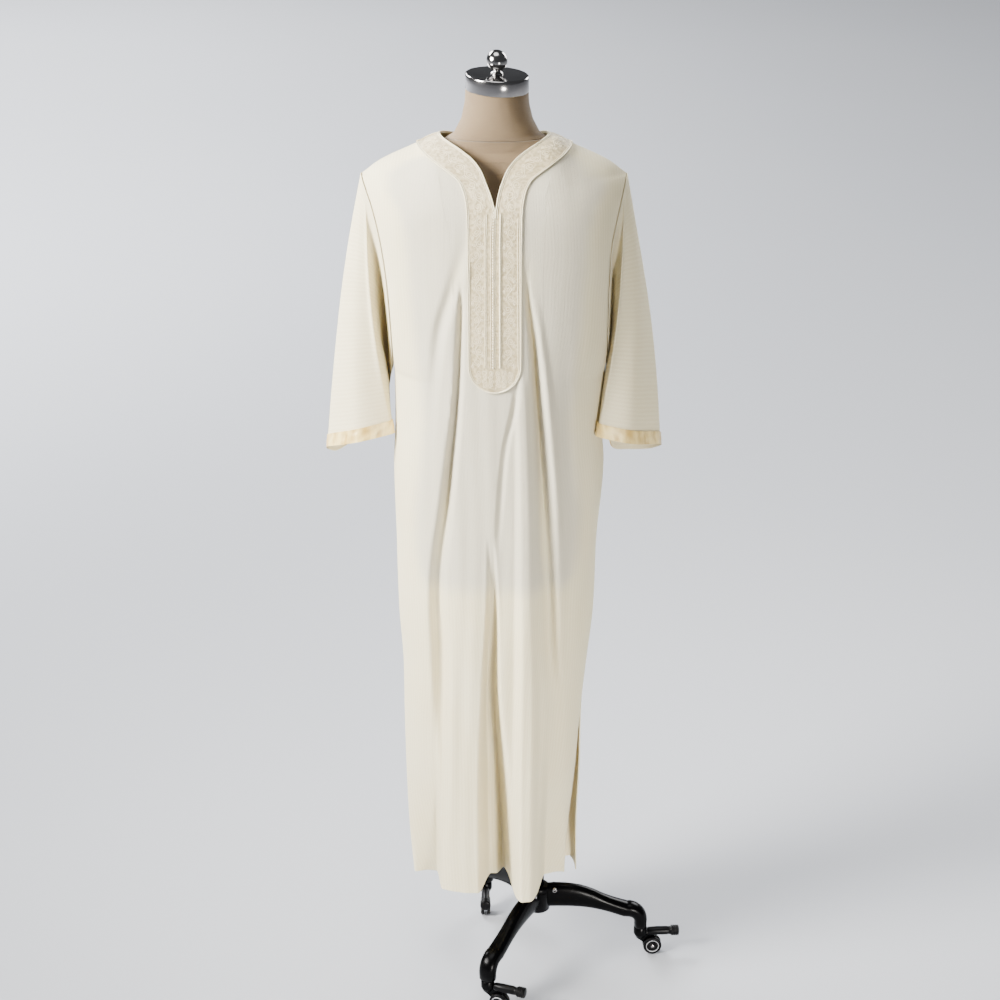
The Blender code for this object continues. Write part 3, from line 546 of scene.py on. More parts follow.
def piece(name, points, faces, places, material, behind=None):
    """A mesh object at the origin; places holds each point's place on the flat cloth, or is none."""
    mesh = bpy.data.meshes.new(name)
    mesh.from_pydata(np.asarray(points).tolist(), [], faces)
    # behind holds each point's painted shade of the form seen through the cloth.
    if behind is not None:
        mesh.attributes.new("painted_form_shade", "FLOAT", "POINT").data.foreach_set("value", behind)
    if places is not None:
        order = [corner for face in faces for corner in face]
        mesh.uv_layers.new(name="cut").data.foreach_set("uv", places.reshape(-1, 2)[order].ravel())
    work = bmesh.new()
    work.from_mesh(mesh)
    bmesh.ops.remove_doubles(work, verts=work.verts, dist=1e-6)
    bmesh.ops.recalc_face_normals(work, faces=work.faces)
    work.to_mesh(mesh)
    work.free()
    mesh.shade_smooth()
    mesh.set_sharp_from_angle(angle=radians(50))
    mesh.materials.append(material)
    return linked(name, mesh)


def linked(name, data):
    thing = bpy.data.objects.new(name, data)
    bpy.context.collection.objects.link(thing)
    return thing


def grid_faces(rows, columns, start=0):
    i, j = np.meshgrid(np.arange(rows - 1), np.arange(columns - 1), indexing="ij")
    first = (start + i * columns + j).ravel()
    return np.stack((first, first + 1, first + columns + 1, first + columns), axis=1)


def cloth_piece(name, weave, thickness, material, lift=0.0, behind=None):
    """A closed wall of cloth on a weave's points; thickness may change over it."""
    if behind is not None:
        behind = np.concatenate((behind.ravel(), behind.ravel()))
    rows, columns = weave.grid.shape[:2]
    half = np.broadcast_to(np.asarray(thickness, float) / 2, (rows, columns))[..., None]
    walls = [(weave.grid + weave.normals * (lift + out)).reshape(-1, 3) for out in (half, -half)]
    count = rows * columns
    index = np.arange(count).reshape(rows, columns)
    borders = [index[0], index[-1]] + ([] if weave.ring else [index[:, 0], index[:, -1]])
    faces = [grid_faces(rows, columns), grid_faces(rows, columns, count)[:, ::-1]]
    faces += [np.stack((edge[:-1], edge[1:], edge[1:] + count, edge[:-1] + count), axis=1) for edge in borders]
    places = np.concatenate((weave.cut().reshape(-1, 2),) * 2)
    return piece(name, np.concatenate(walls), np.concatenate(faces).tolist(), places, material, behind)


class Bundle:
    """Many threads, cords or rods in one mesh."""

    def __init__(self):
        self.points, self.faces, self.places, self.count = [], [], [], 0

    def add(self, path, normals, wide, high, sides):
        """A thread along a path, flattened against a surface with these normals."""
        path = np.asarray(path)
        along = unit(np.gradient(path, axis=0))
        up = unit(normals - along * (normals * along).sum(axis=1, keepdims=True))
        aside = np.cross(along, up)
        turn = circle(sides)
        ring = aside[:, None] * (np.cos(turn) * wide)[None, :, None] + up[:, None] * (np.sin(turn) * high)[None, :, None]
        points = (path[:, None] + ring).reshape(-1, 3)
        places = np.broadcast_arrays(turn[None, :] / (2 * pi), lengths_along(path)[:, None])
        self.points.append(points)
        self.places.append(np.stack(places, axis=-1).reshape(-1, 2))
        self.faces += grid_faces(len(path), sides + 1, self.count).tolist()
        for row in (0, len(path) - 1):
            first = self.count + row * (sides + 1)
            self.faces.append(list(range(first, first + sides)))
        self.count += len(points)

    def build(self, name, material):
        return piece(name, np.concatenate(self.points), self.faces, np.concatenate(self.places), material)


def ringed(name, rings, material, cut=None, ends=True):
    """A solid through rings of points that each repeat their first point at their end, with or without end faces."""
    rings = np.asarray(rings)
    rows, columns = rings.shape[:2]
    faces = grid_faces(rows, columns).tolist()
    if ends:
        faces += [list(range(columns - 1)), list(range((rows - 1) * columns, rows * columns - 1))]
    return piece(name, rings.reshape(-1, 3), faces, cut, material)


def turned(name, profile, material, sides, place, ends=True):
    """A solid of revolution about its own Z from rows of height and radius; without ends, the rows close on themselves."""
    turn = circle(sides)
    rings = [np.stack((radius * np.cos(turn), radius * np.sin(turn), np.full(sides + 1, height)), axis=1)
             for height, radius in profile]
    return ringed(name, [placed(ring, place) for ring in rings], material, ends=ends)


def placed(points, place):
    matrix = np.array(place)
    return np.asarray(points) @ matrix[:3, :3].T + matrix[:3, 3]


def on_robe(thing, slot, *nodes):
    """The piece rides with the robe and its stand, in place of these nodes; slot is not used."""
    return on_body(thing, BODY_OF_ROBE, slot, *nodes)


def on_body(thing, body, slot, *nodes):
    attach(thing, body)
    if nodes:
        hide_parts(*nodes)
    return thing


# The robe

def body_weave(face, columns, rows):
    """The front or back: closer columns at the sides, closer rows at the shoulders."""
    neck = NECK_ACROSS / TIP_ACROSS
    outer = np.linspace(-1, -neck, columns // 2 - columns // 4, endpoint=False)
    outer = -1 + (outer + 1) ** 1.15 * (1 - neck) ** -0.15
    inner = -neck * (1 - np.linspace(0, 1, columns // 4, endpoint=False)) ** 1.25
    u = np.concatenate((outer, inner, (0.0,), -inner[::-1], -outer[::-1]))
    share = (np.linspace(0, 1, rows) ** 1.18)[:, None]
    top, low = neck_top(u, face), along_for(u, HEM)
    if face > 0:
        low = low + BACK_CORNER_DROP * np.clip((u - 0.35) / 0.45, 0, 1) ** 2
    return Weave(body_point(u[None, :], top + (low - top) * share, face))


def hemmed(weave):
    """Thickness that doubles in the hem and along the slits."""
    down = weave.down[-1][None, :] - weave.down
    side = np.minimum(weave.across, weave.across[:, -1:] - weave.across)
    in_hem = np.clip((HEM_DEPTH - down) / 0.002, 0, 1)
    in_slit = np.clip((HEM_DEPTH * 0.8 - side) / 0.002, 0, 1) * (weave.grid[..., 2] < SLIT_TOP)
    return CLOTH + (HEM_CLOTH - CLOTH) * np.maximum(in_hem, in_slit)


def painted_form_shade(weave):
    """Painted shade: 1 where the form's shadow shows grey through the thin cloth, 0 past it and where the cloth lies
    right on it.
    """
    x, y, z = np.moveaxis(weave.grid - ROBE_AT, -1, 0)
    half, front, back = (np.interp(z, FORM[0], column) for column in FORM[1:])
    inside = np.clip((half - abs(x)) / 0.030, 0, 1) * np.clip((z - 0.812) / 0.045, 0, 1)
    gap = abs(y) - np.where(y < 0, front, back) * np.sqrt(np.clip(1 - (x / half) ** 2, 0, 1))
    loose = np.clip((gap - 0.012) / 0.010, 0, 1)
    return inside * inside * (3 - 2 * inside) * loose


def make_body():
    weaves = {}
    for name, face in (("front", -1), ("back", 1)):
        weave = body_weave(face, 150, 300)
        cotton = ivory_cotton(f"ivory_cotton_{name}", 0)
        thing = cloth_piece(f"robe_{name}", weave, hemmed(weave), cotton, behind=painted_form_shade(weave))
        on_robe(thing, "ivory_cotton", f"{name}_panel")
        weaves[name] = weave
    return weaves


def armhole_point(side, turn):
    """The sleeve's own edge at the armhole: turn 0 is the underarm, 0.5 the shoulder tip."""
    z = ARMHOLE_MIDDLE - ARMHOLE_HALF * np.cos(2 * pi * turn)
    x = body_size("middle", z) + side * (body_size("half", z) + SLEEVE_OFF)
    return np.stack((x, -ARMHOLE_DEEP * np.sin(2 * pi * turn), z), axis=-1)


def sleeve_point(side, turn, v):
    """Points of the sleeve: turn goes round from the underarm by the front, v from the armhole to the cuff."""
    turn, v = np.broadcast_arrays(np.asarray(turn, float), np.asarray(v, float))
    cuff = CUFF_WEST if side < 0 else CUFF_EAST
    start = armhole_point(side, np.interp(turn, np.arange(9) / 8, ARMHOLE_TURN))
    eighths = np.arange(-2, 11)      # two more at each end, so that the cuff's edge is smooth where it closes
    end = np.stack([through(eighths / 8, cuff[column][eighths % 8], turn) for column in ("across", "deep", "height")],
                   axis=-1)
    point = start + (end - start) * v[..., None]
    along = np.sin(pi * v)
    outer = np.maximum(np.cos(2 * pi * (turn - 0.5)), 0)
    bow = side * along * (SLEEVE_BOW * outer + SLEEVE_CLEAR * (1 - outer))
    inner = np.sin(pi * np.clip(turn / 0.25, 0, 1))
    recess = INNER_RECESS * inner ** 0.8 * along * (1 - v) ** 0.35
    crease = np.exp(-((turn - 0.25) / 0.035) ** 2) * along ** 1.2
    loose = np.sin(pi * np.clip((turn - 0.27) / 0.73, 0, 1)) ** 2 * along
    drag = 0.0024 * loose * np.sin(2 * pi * turn * 5 + 3 * v + side) + 0.005 * inner * along * np.sin(14 * v)
    point = point + np.stack((bow + side * (drag + CREASE_OUT * crease), recess - drag - CREASE_FRONT * crease,
                              np.zeros_like(bow)), axis=-1)
    return point + ROBE_AT


def make_sleeves():
    weaves = {}
    turns = np.linspace(0, 1, 193)
    shares = np.concatenate((np.linspace(0, CUFF_SHARE, 100), np.linspace(CUFF_SHARE, 1, 8)[1:]))
    for name, side in (("west", -1), ("east", 1)):
        weave = Weave(sleeve_point(side, turns[None, :], shares[:, None]), ring=True)
        cotton = ivory_cotton(f"ivory_cotton_{name}_sleeve", 1)
        on_robe(cloth_piece(f"sleeve_cloth_{name}", weave, CLOTH, cotton), "ivory_cotton", f"sleeve_{name}")
        up = np.linspace(RIBBON_WIDTH, 0.0, 14)[:, None] / weave.down[-1][None, :]
        ribbon = Weave(sleeve_point(side, turns[None, :], 1 - up), ring=True)
        crumple = 0.0005 * (np.sin(turns * 2 * pi * 13 + side) * np.sin(np.linspace(0, 3 * pi, 14))[:, None] + 1)
        thing = cloth_piece(f"cuff_ribbon_{name}", ribbon, RIBBON, gold_satin(), lift=BAND_LIFT + crumple[..., None])
        on_robe(thing, "gold_satin", f"cuff_{name}")
        weaves[name] = weave
    return weaves


def even_path(u, q, face, count):
    """The same path with count points at even steps along the cloth."""
    lengths = lengths_along(body_point(u, q, face))
    steps = np.linspace(0, lengths[-1], count)
    return np.stack((np.interp(steps, lengths, u), np.interp(steps, lengths, q)), axis=-1)


def neck_path(side, across, line, face, count):
    """The neck's edge on the body, as rows of u and q."""
    u = side * across / TIP_ACROSS
    return even_path(u, np.maximum(along_for(u, line_height(line, abs(across))), SEAM), face, count)


def outer_path(edge, side, face, count):
    """The band's outer edge on the body, from the shoulder, as rows of u and q."""
    steps = np.linspace(0, len(edge["height"]) - 1, 200)
    distance, height = (through(np.arange(len(edge[name])), edge[name], steps) for name in ("distance", "height"))
    u, q = body_place(NECK_MIDDLE + side * distance, height)
    return even_path(u, np.maximum(q, SEAM), face, count)


def front_band_weave(side):
    """The front band of one side: rows from the shoulder seam down to the placket's end, columns outwards."""
    inner = neck_path(side, np.linspace(NECK_ACROSS, 0, 300), NECKLINE, -1, NECK_ROWS)
    outer = outer_path(BAND_OUTER, side, -1, NECK_ROWS)
    wide, high = BAND_OUTER["distance"][-1], BAND_OUTER["height"][-1]
    straight = np.linspace(0, 1, STRAIGHT_ROWS + 1)[1:]
    settle = np.clip(straight * 6, 0, 1)
    slit_x, start_x = NECK_MIDDLE + side * SEAM, body_size("middle", V_LOW)
    inner_x = start_x + (slit_x - start_x) * settle
    outer_x = NECK_MIDDLE + side * (wide + (PLACKET_HALF - wide) * settle)
    turn = np.linspace(0, radians(89), END_ROWS + 1)[1:]
    end_z = SLIT_LOW - PLACKET_HALF * np.sin(turn)
    end_x = NECK_MIDDLE + side * np.maximum(PLACKET_HALF * np.cos(turn), 0.0008)

    def lower(top, straight_x, low_x):
        height = np.concatenate((top + (SLIT_LOW - top) * straight, end_z))
        return np.stack(body_place(np.concatenate((straight_x, low_x)), height), axis=-1)
    inner = np.concatenate((inner, lower(V_LOW, inner_x, np.full(END_ROWS, slit_x))))
    outer = np.concatenate((outer, lower(high, outer_x, end_x)))
    return band_weave(inner, outer, -1, (0, 0.1, 1.35))


def back_band_weave():
    inner = neck_path(1, np.linspace(-NECK_ACROSS, NECK_ACROSS, 400), BACK_NECKLINE, 1, 121)
    west, east = (outer_path(BACK_OUTER, side, 1, 61) for side in (-1, 1))
    return band_weave(inner, np.concatenate((west, east[::-1][1:])), 1, (0, -0.1, 1.50))


def band_weave(inner, outer, face, behind):
    """A band's grid between its two edges; behind is a place on its inner side."""
    share = np.linspace(0, 1, BAND_COLUMNS)[None, :, None]
    places = inner[:, None] + (outer - inner)[:, None] * share
    return Weave(body_point(places[..., 0], places[..., 1], face), outward=ROBE_AT + np.array(behind))


def make_bands():
    ground = embroidered_ground()
    weaves = dict(west=front_band_weave(-1), east=front_band_weave(1), back=back_band_weave())
    for name, weave in weaves.items():
        thing = cloth_piece(f"band_{name}", weave, RIBBON, ground, lift=BAND_LIFT)
        on_robe(thing, "cream_embroidery", f"neck_band_{name}")
    return weaves


# Embroidery: each motif is drawn flat, with its place along the band and from its middle in metres

VINE_PITCH, THREAD_WIDE, THREAD_HIGH = 0.0175, 0.00052, 0.00042


def spiral(along, aside, radius, hand, start, turns=1.55, count=22):
    share = np.linspace(0, 1, count)
    angle = start + hand * share * 2 * pi * turns
    reach = radius * (1 - 0.84 * share)
    return np.stack((along + reach * np.cos(angle), aside + reach * np.sin(angle)), axis=1)


def leaf(along, aside, length, width, angle):
    share = np.linspace(0, 1, 12)
    loop_along = length * np.sin(pi * share)
    loop_aside = width * np.sin(2 * pi * share)
    return np.stack((along + loop_along * cos(angle) - loop_aside * sin(angle),
                     aside + loop_along * sin(angle) + loop_aside * cos(angle)), axis=1)


def vine(start, end, half):
    """A running vine with a large and a small curl and three leaves in each bend."""
    count = max(int((end - start) / VINE_PITCH), 1)
    step = (end - start) / count
    stem = np.linspace(start, end, count * 14)
    paths = [np.stack((stem, 0.42 * half * np.sin((stem - start) / step * pi)), axis=1)]
    for k in range(count):
        hand = 1 if k % 2 == 0 else -1
        middle = start + (k + 0.5) * step
        paths.append(spiral(middle, -hand * half * 0.22, half * 0.56, hand, -hand * pi / 2))
        paths.append(spiral(middle + step * 0.08, hand * half * 0.66, half * 0.26, -hand, 0.0, 1.2, 12))
        for turn in (-0.9, 0.0, 0.9):
            paths.append(leaf(middle + step * 0.42, -hand * half * 0.62, half * 0.34, half * 0.09, turn - hand * pi / 2))
    return paths


def end_curls(start, end):
    """Rows of curls that fill the half round under the slit."""
    return [spiral(start + along, aside, 0.0046, 1 if (j + k) % 2 else -1, 0.7 * j)
            for k in range(4) for j in range(4)
            for along, aside in ((0.010 + 0.0075 * k, 0.006 + 0.0105 * j),)
            if (aside + 0.005) ** 2 + along ** 2 < 0.0415 ** 2 and start + along < end]


def thread_layer(bundle, weave, paths, middle):
    """Lay flat paths on a band; middle is the place of the paths' own middle from the band's inner edge."""
    lengths, widths = weave.down[:, BAND_COLUMNS // 2], weave.across[:, -1]
    rows = np.arange(len(lengths))
    for path in paths:
        row = np.interp(path[:, 0], lengths, rows)
        centre = np.interp(row, rows, middle) if np.ndim(middle) else middle
        column = (centre + path[:, 1]) / np.interp(row, rows, widths) * (BAND_COLUMNS - 1)
        if column.min() < -0.5 or column.max() > BAND_COLUMNS - 0.5:
            continue
        points = weave.at(row, column, BAND_TOP)
        normals = unit(weave.at(row, column, BAND_TOP + 0.001) - points)
        bundle.add(points, normals, THREAD_WIDE, THREAD_HIGH, 4)


def make_embroidery(bands):
    thread = silk_thread("cream silk thread", colour(0.86, 0.775, 0.56), colour(0.66, 0.56, 0.34), 0.40, 0.0012)
    for name, weave in bands.items():
        lengths = weave.down[:, BAND_COLUMNS // 2]
        bundle = Bundle()
        neck_end = lengths[-1] if name == "back" else lengths[NECK_ROWS - 1]
        thread_layer(bundle, weave, vine(0.004, neck_end - 0.002, 0.0125), weave.across[:, -1] * 0.50)
        if name != "back":
            slit_end = lengths[STRAIGHT_END - 1]
            centre = 0.0280 if name == "west" else 0.0245
            thread_layer(bundle, weave, vine(neck_end + 0.002, slit_end, 0.0112), centre)
            thread_layer(bundle, weave, end_curls(slit_end, lengths[-1]), 0.0)
        on_robe(bundle.build(f"embroidery_{name}", thread), "cream_embroidery")


def band_line(weave, place, start_row, end_row, lift):
    """A path along a band: place is the distance from its inner edge, or less than 0 from its outer one."""
    rows = np.arange(start_row, end_row, dtype=float)
    widths = np.interp(rows, np.arange(len(weave.across)), weave.across[:, -1])
    distance = widths + place if place < 0 else np.full(len(rows), place)
    column = np.clip(distance / widths, 0, 1) * (BAND_COLUMNS - 1)
    points = weave.at(rows, column, lift)
    return points, unit(weave.at(rows, column, lift + 0.001) - points)


def make_cords(bands):
    """Twisted cords: round the neck's edge, along the band's outer edge, and the lines of the placket."""
    bright = silk_thread("bright silk cord", colour(0.93, 0.87, 0.66), colour(0.66, 0.55, 0.30), 0.34, 0.0026)
    cords = Bundle()

    def lay(weave, place, radius, start_row, end_row):
        cords.add(*band_line(weave, place, start_row, end_row, BAND_TOP + radius * 0.5), radius, radius, 8)
    for name, weave in bands.items():
        rows = len(weave.grid)
        neck_end = rows if name == "back" else NECK_ROWS + 4
        for place, radius, until in ((0.0009, 0.0011, neck_end), (-0.0010, 0.0010, rows), (-0.0038, 0.0006, rows),
                                     (0.0038, 0.0006, neck_end)):
            lay(weave, place, radius, 0, until)
    for name, lines in (("west", ((0.0008, 0.0005), (0.0062, 0.0005), (0.0140, 0.0006), (0.0166, 0.0006))),
                        ("east", ((0.0008, 0.0005), (0.0088, 0.0015), (0.0120, 0.0005), (0.0385, 0.0006)))):
        for place, radius in lines:
            lay(bands[name], place, radius, NECK_ROWS, STRAIGHT_END)
    on_robe(cords.build("silk_cords", bright), "cream_embroidery")


# Geometry Nodes for what repeats

def beads_along_tree():
    """Small rounded beads at even steps along each line: stitches and knots."""
    tree = bpy.data.node_groups.new("beads along a line", "GeometryNodeTree")
    tree.interface.new_socket("Geometry", in_out="INPUT", socket_type="NodeSocketGeometry")
    for label in ("Step", "Length", "Radius"):
        tree.interface.new_socket(label, in_out="INPUT", socket_type="NodeSocketFloat")
    tree.interface.new_socket("Finish", in_out="INPUT", socket_type="NodeSocketMaterial")
    tree.interface.new_socket("Geometry", in_out="OUTPUT", socket_type="NodeSocketGeometry")
    given = tree.nodes.new("NodeGroupInput").outputs

    def add(kind, settings, *values, **named):
        node = tree.nodes.new(kind)
        for key, value in settings.items():
            setattr(node, key, value)
        for place, value in [*enumerate(values), *named.items()]:
            if isinstance(value, bpy.types.NodeSocket):
                tree.links.new(value, node.inputs[place])
            else:
                node.inputs[place].default_value = value
        return node.outputs
    spread = add("GeometryNodeCurveToPoints", dict(mode="LENGTH"), Curve=given["Geometry"], Length=given["Step"])
    bead = add("GeometryNodeMeshUVSphere", {}, Segments=6, Rings=5, Radius=1.0)
    half = add("ShaderNodeMath", dict(operation="MULTIPLY"), given["Length"], 0.5)
    size = add("ShaderNodeCombineXYZ", {}, given["Radius"], given["Radius"], half[0])
    laid = add("GeometryNodeInstanceOnPoints", {}, Points=spread["Points"], Instance=bead["Mesh"],
               Rotation=spread["Rotation"], Scale=size[0])
    real = add("GeometryNodeRealizeInstances", {}, laid["Instances"])
    finish = add("GeometryNodeSetMaterial", {}, Geometry=real["Geometry"], Material=given["Finish"])
    add("NodeGroupOutput", {}, finish["Geometry"])
    return tree


def beaded(name, paths, tree, slot, **values):
    """Beads of these values along the paths, as a plain mesh that rides with the robe."""
    curve = bpy.data.curves.new(f"{name} paths", "CURVE")
    curve.dimensions = "3D"
    for path in paths:
        spline = curve.splines.new("POLY")
        spline.points.add(len(path) - 1)
        spline.points.foreach_set("co", np.concatenate((path, np.ones((len(path), 1))), axis=1).ravel())
    lines = linked(f"{name} paths", curve)
    modifier = lines.modifiers.new("grow", "NODES")
    modifier.node_group = tree
    for item in tree.interface.items_tree:
        if item.in_out == "INPUT" and item.name in values:
            modifier[item.identifier] = values[item.name]
    bpy.context.view_layer.update()
    mesh = bpy.data.meshes.new_from_object(lines.evaluated_get(bpy.context.evaluated_depsgraph_get()))
    mesh.name = name
    bpy.data.objects.remove(lines, do_unlink=True)
    mesh.shade_smooth()
    on_robe(linked(name, mesh), slot)


def body_stitches(weave):
    """Lines of stitches above the hem and beside both slits."""
    rows, columns = weave.grid.shape[:2]
    surface = CLOTH / 2 + 0.0001
    hem_row = np.interp(0.0125, weave.down[-1].mean() - weave.down.mean(axis=1)[::-1], np.arange(rows)[::-1])
    paths = [weave.at(np.full(260, hem_row), np.linspace(3, columns - 4, 260), surface)]
    slit_rows = np.arange(rows)[weave.grid[:, columns // 2, 2] < SLIT_TOP]
    widths = weave.across[slit_rows]
    for east in (False, True):
        places = [np.interp(width[-1] - 0.0115 if east else 0.0115, width, np.arange(columns)) for width in widths]
        paths.append(weave.at(slit_rows.astype(float), np.array(places), surface))
    return paths


def sleeve_stitches(weave):
    """Lines of stitches at the armhole and above the cuff's ribbon."""
    round_it = np.linspace(0, weave.grid.shape[1] - 1, 300)
    cuff_row = float(np.argmin(abs(weave.down.mean(axis=1) - weave.down[-1].mean() * (CUFF_SHARE - 0.004))))
    return [weave.at(np.full(300, row), round_it, CLOTH / 2 + 0.0002) for row in (1.1, cuff_row)]


def make_sewing(body, sleeves, bands):
    """Knots down the slit, and stitches along hems, slits, armholes, bands and cuffs."""
    tree = beads_along_tree()
    knot = silk_thread("knotted silk", colour(0.90, 0.85, 0.70), colour(0.66, 0.56, 0.36), 0.4, 0.0012)
    cotton_thread = silk_thread("sewing thread", colour(0.86, 0.82, 0.70), colour(0.74, 0.69, 0.55), 0.55, 0.0008)
    knots, _ = band_line(bands["west"], 0.0026, NECK_ROWS, STRAIGHT_END, BAND_TOP + 0.0009)
    beaded("slit_knots", [knots], tree, "cream_embroidery", Step=0.0046, Length=0.0031, Radius=0.0014, Finish=knot)
    paths = [path for weave in body.values() for path in body_stitches(weave)]
    paths += [path for weave in sleeves.values() for path in sleeve_stitches(weave)]
    beaded("stitches", paths, tree, "ivory_cotton", Step=0.0034, Length=0.0026, Radius=0.00026, Finish=cotton_thread)
    edges = [band_line(weave, -0.0027, 0, len(weave.grid), BAND_TOP + 0.0001)[0] for weave in bands.values()]
    beaded("band_stitches", edges, tree, "cream_embroidery", Step=0.0030, Length=0.0024, Radius=0.00030, Finish=knot)


# The dress form

def oval(z, half, front, back, lean, sides=96):
    turn = circle(sides)
    x = half * np.cos(turn)
    y = np.where(np.sin(turn) > 0, back, front) * np.sin(turn)
    return np.stack((x, y, z + lean * (y * NECK_PITCH - x * NECK_ROLL)), axis=1) + ROBE_AT


def make_form():
    rings, cut = [], []
    for z in np.concatenate((np.linspace(FORM_LOW, 1.5, 60), np.linspace(1.5, FORM_TOP, 60)[1:])):
        lean = min(max((z - NECK_FROM) / (FORM_TOP - NECK_FROM), 0.0), 1.0)
        ring = oval(z, *(np.interp(z, FORM[0], column) for column in FORM[1:]), lean)
        rings.append(ring)
        steps = lengths_along(ring)
        cut.append(np.stack((steps, np.full(len(steps), z)), axis=1))
    on_robe(ringed("form_cover", rings, beige_linen(), np.array(cut)), "beige_linen", "form_torso")
    metal = chrome()
    tall = CAP_TOP - CAP_LOW
    edge = ((0.0, -0.0006), (0.0008, 0.0), (tall - 0.0030, 0.0), (tall - 0.0012, -0.0005), (tall - 0.0003, -0.0018),
            (tall, -0.0045), (tall, -0.0400))
    rings = [oval(CAP_LOW + up, *(CAP_RADIUS + out,) * 3, 1.0) for up, out in edge]
    on_robe(ringed("chrome_cap", rings, metal), "chrome", "neck_cap")
    foot = [(0.0, 0.0100), (0.0016, 0.0100), (0.0030, 0.0080), (0.0046, 0.0064)]
    ball = [(BALL_OVER + BALL_RADIUS * sin(turn), BALL_RADIUS * cos(turn))
            for turn in np.linspace(asin(-0.93), radians(89), 21)]
    rings = [oval(CAP_TOP + 0.0003 + up, radius, radius, radius, 1.0, 48) for up, radius in foot + ball]
    on_robe(ringed("chrome_knob", rings, metal), "chrome", "neck_knob")


# The stand

def hub_matrix(angle=0.0):
    at = Matrix.Translation((ROBE_AT[0] + HUB_AT[0], ROBE_AT[1] + HUB_AT[1], 0))
    return at @ Matrix.Rotation(radians(angle), 4, "Z")


def leg_stations():
    """Places along a leg's middle line: out, height, half-height, half-width and the line's slope or turn."""
    out = np.linspace(LEG[0][0], LEG[0][-1], LEG_ROWS)
    z, tall, wide = (through(LEG[0], column, out) for column in LEG[1:])
    slope = np.gradient(z, out)
    slope[0] = 0
    rows = list(zip(out, z, tall, wide, slope))
    middle_out, middle_z = LEG_REACH - LEG_TURN, LEG[1][-1] - LEG_TURN
    for k in range(1, 15):
        turn = pi / 2 * k / 14
        rows.append((middle_out + LEG_TURN * sin(turn), middle_z + LEG_TURN * cos(turn), 0.0125 + 0.0025 * cos(turn),
                     0.0166, -turn))
    rows.append((LEG_REACH, LEG_FOOT + 0.0015, 0.0123, 0.0160, -pi / 2))
    rows.append((LEG_REACH, LEG_FOOT, 0.0112, 0.0145, -pi / 2))
    return rows


def rounded(values, size):
    """A side of a rounded oblong from the sine or cosine of the way round."""
    return size * np.sign(values) * abs(values) ** 0.85


def make_leg(name, matrix, cast):
    turn = circle(32)
    rings = []
    for out, z, tall, wide, lean in leg_stations():
        up, aside = rounded(np.sin(turn), tall), rounded(np.cos(turn), wide)
        rings.append(placed(np.stack((out - up * sin(lean), aside, z + up * cos(lean)), axis=1), matrix))
    on_robe(ringed(f"cast_leg_{name}", rings, cast), "black_iron", f"leg_{name}")


def bolt_head(name, place, radius, height, finish):
    """A round-headed socket bolt, its axis along the place's own Z."""
    socket = radius * 0.5
    profile = ((0.0, radius), (height * 0.55, radius), (height * 0.85, radius * 0.9), (height, radius * 0.68),
               (height, socket), (height * 0.4, socket * 0.95), (height * 0.4, 0.0002))
    on_robe(turned(name, profile, finish, 24, place), "black_iron")


def paint_node(name, paint):
    for slot in bpy.data.objects[name].material_slots:
        slot.material = paint


def make_stand():
    paint, cast, bright = black_gloss("black painted steel", 0.0001), black_gloss("black painted casting"), chrome()
    pole = turned("painted_pole", ((HUB_TOP + 0.0003, POLE_RADIUS), (POLE_TOP, POLE_RADIUS)), paint, 48, hub_matrix())
    on_robe(pole, "black_metal", "pole")
    paint_node("form_base_plate", paint)
    hub = ((HUB_LOW, -0.006), (HUB_LOW + 0.0008, -0.0022), (HUB_LOW + 0.003, 0), (HUB_TOP - 0.014, 0),
           (HUB_TOP - 0.013, -0.0012), (HUB_TOP - 0.012, -0.0012), (HUB_TOP - 0.011, 0), (HUB_TOP - 0.004, 0),
           (HUB_TOP - 0.001, -0.0035), (HUB_TOP, -0.006))
    rows = [(height, HUB_RADIUS + out) for height, out in hub]
    on_robe(turned("cast_hub", rows, cast, 48, hub_matrix()), "black_iron", "hub")
    for name, (angle, castor_angle) in LEGS.items():
        matrix = hub_matrix(angle)
        make_leg(name, matrix, cast)
        for side, label in ((-1, "west"), (1, "east")):
            at = matrix @ Matrix.Translation((0.031, side * 0.0100, 0.1505)) @ Matrix.Rotation(-side * pi / 2, 4, "X")
            bolt_head(f"bolt_{name}_{label}", at, 0.0050, 0.0040, bright)
        axis = matrix @ Vector((LEG_REACH, 0, 0))
        make_castor(name, Matrix.Translation((axis.x, axis.y, 0)) @ Matrix.Rotation(radians(castor_angle), 4, "Z"))


def make_castor(name, place):
    """The castor's collar, and with it its wheel and its brake lever."""
    paint = black_gloss(f"castor_paint_{name}", 0.0001)
    rubber = moulded_plastic(f"wheel_plastic_{name}", (0.0018, 0.0018, 0.0020), 0.24, 0.10)
    pale = moulded_plastic(f"pale_wheel_ring_{name}", (0.55, 0.56, 0.58), 0.3)
    paint_node(f"castor_{name}", paint)
    collar = ((0.0440, 0.0118), (0.0446, 0.0127), (0.0584, 0.0127), (0.0594, 0.0118))
    on_body(turned(f"castor_collar_{name}", collar, paint, 40, place), f"castor_body_{name}", "black_metal")
    make_wheel(name, rubber, pale, place @ Matrix.Translation((TRAIL, 0, WHEEL_RADIUS)) @ Matrix.Rotation(pi / 2, 4, "X"))
    make_lever(name, rubber, place)


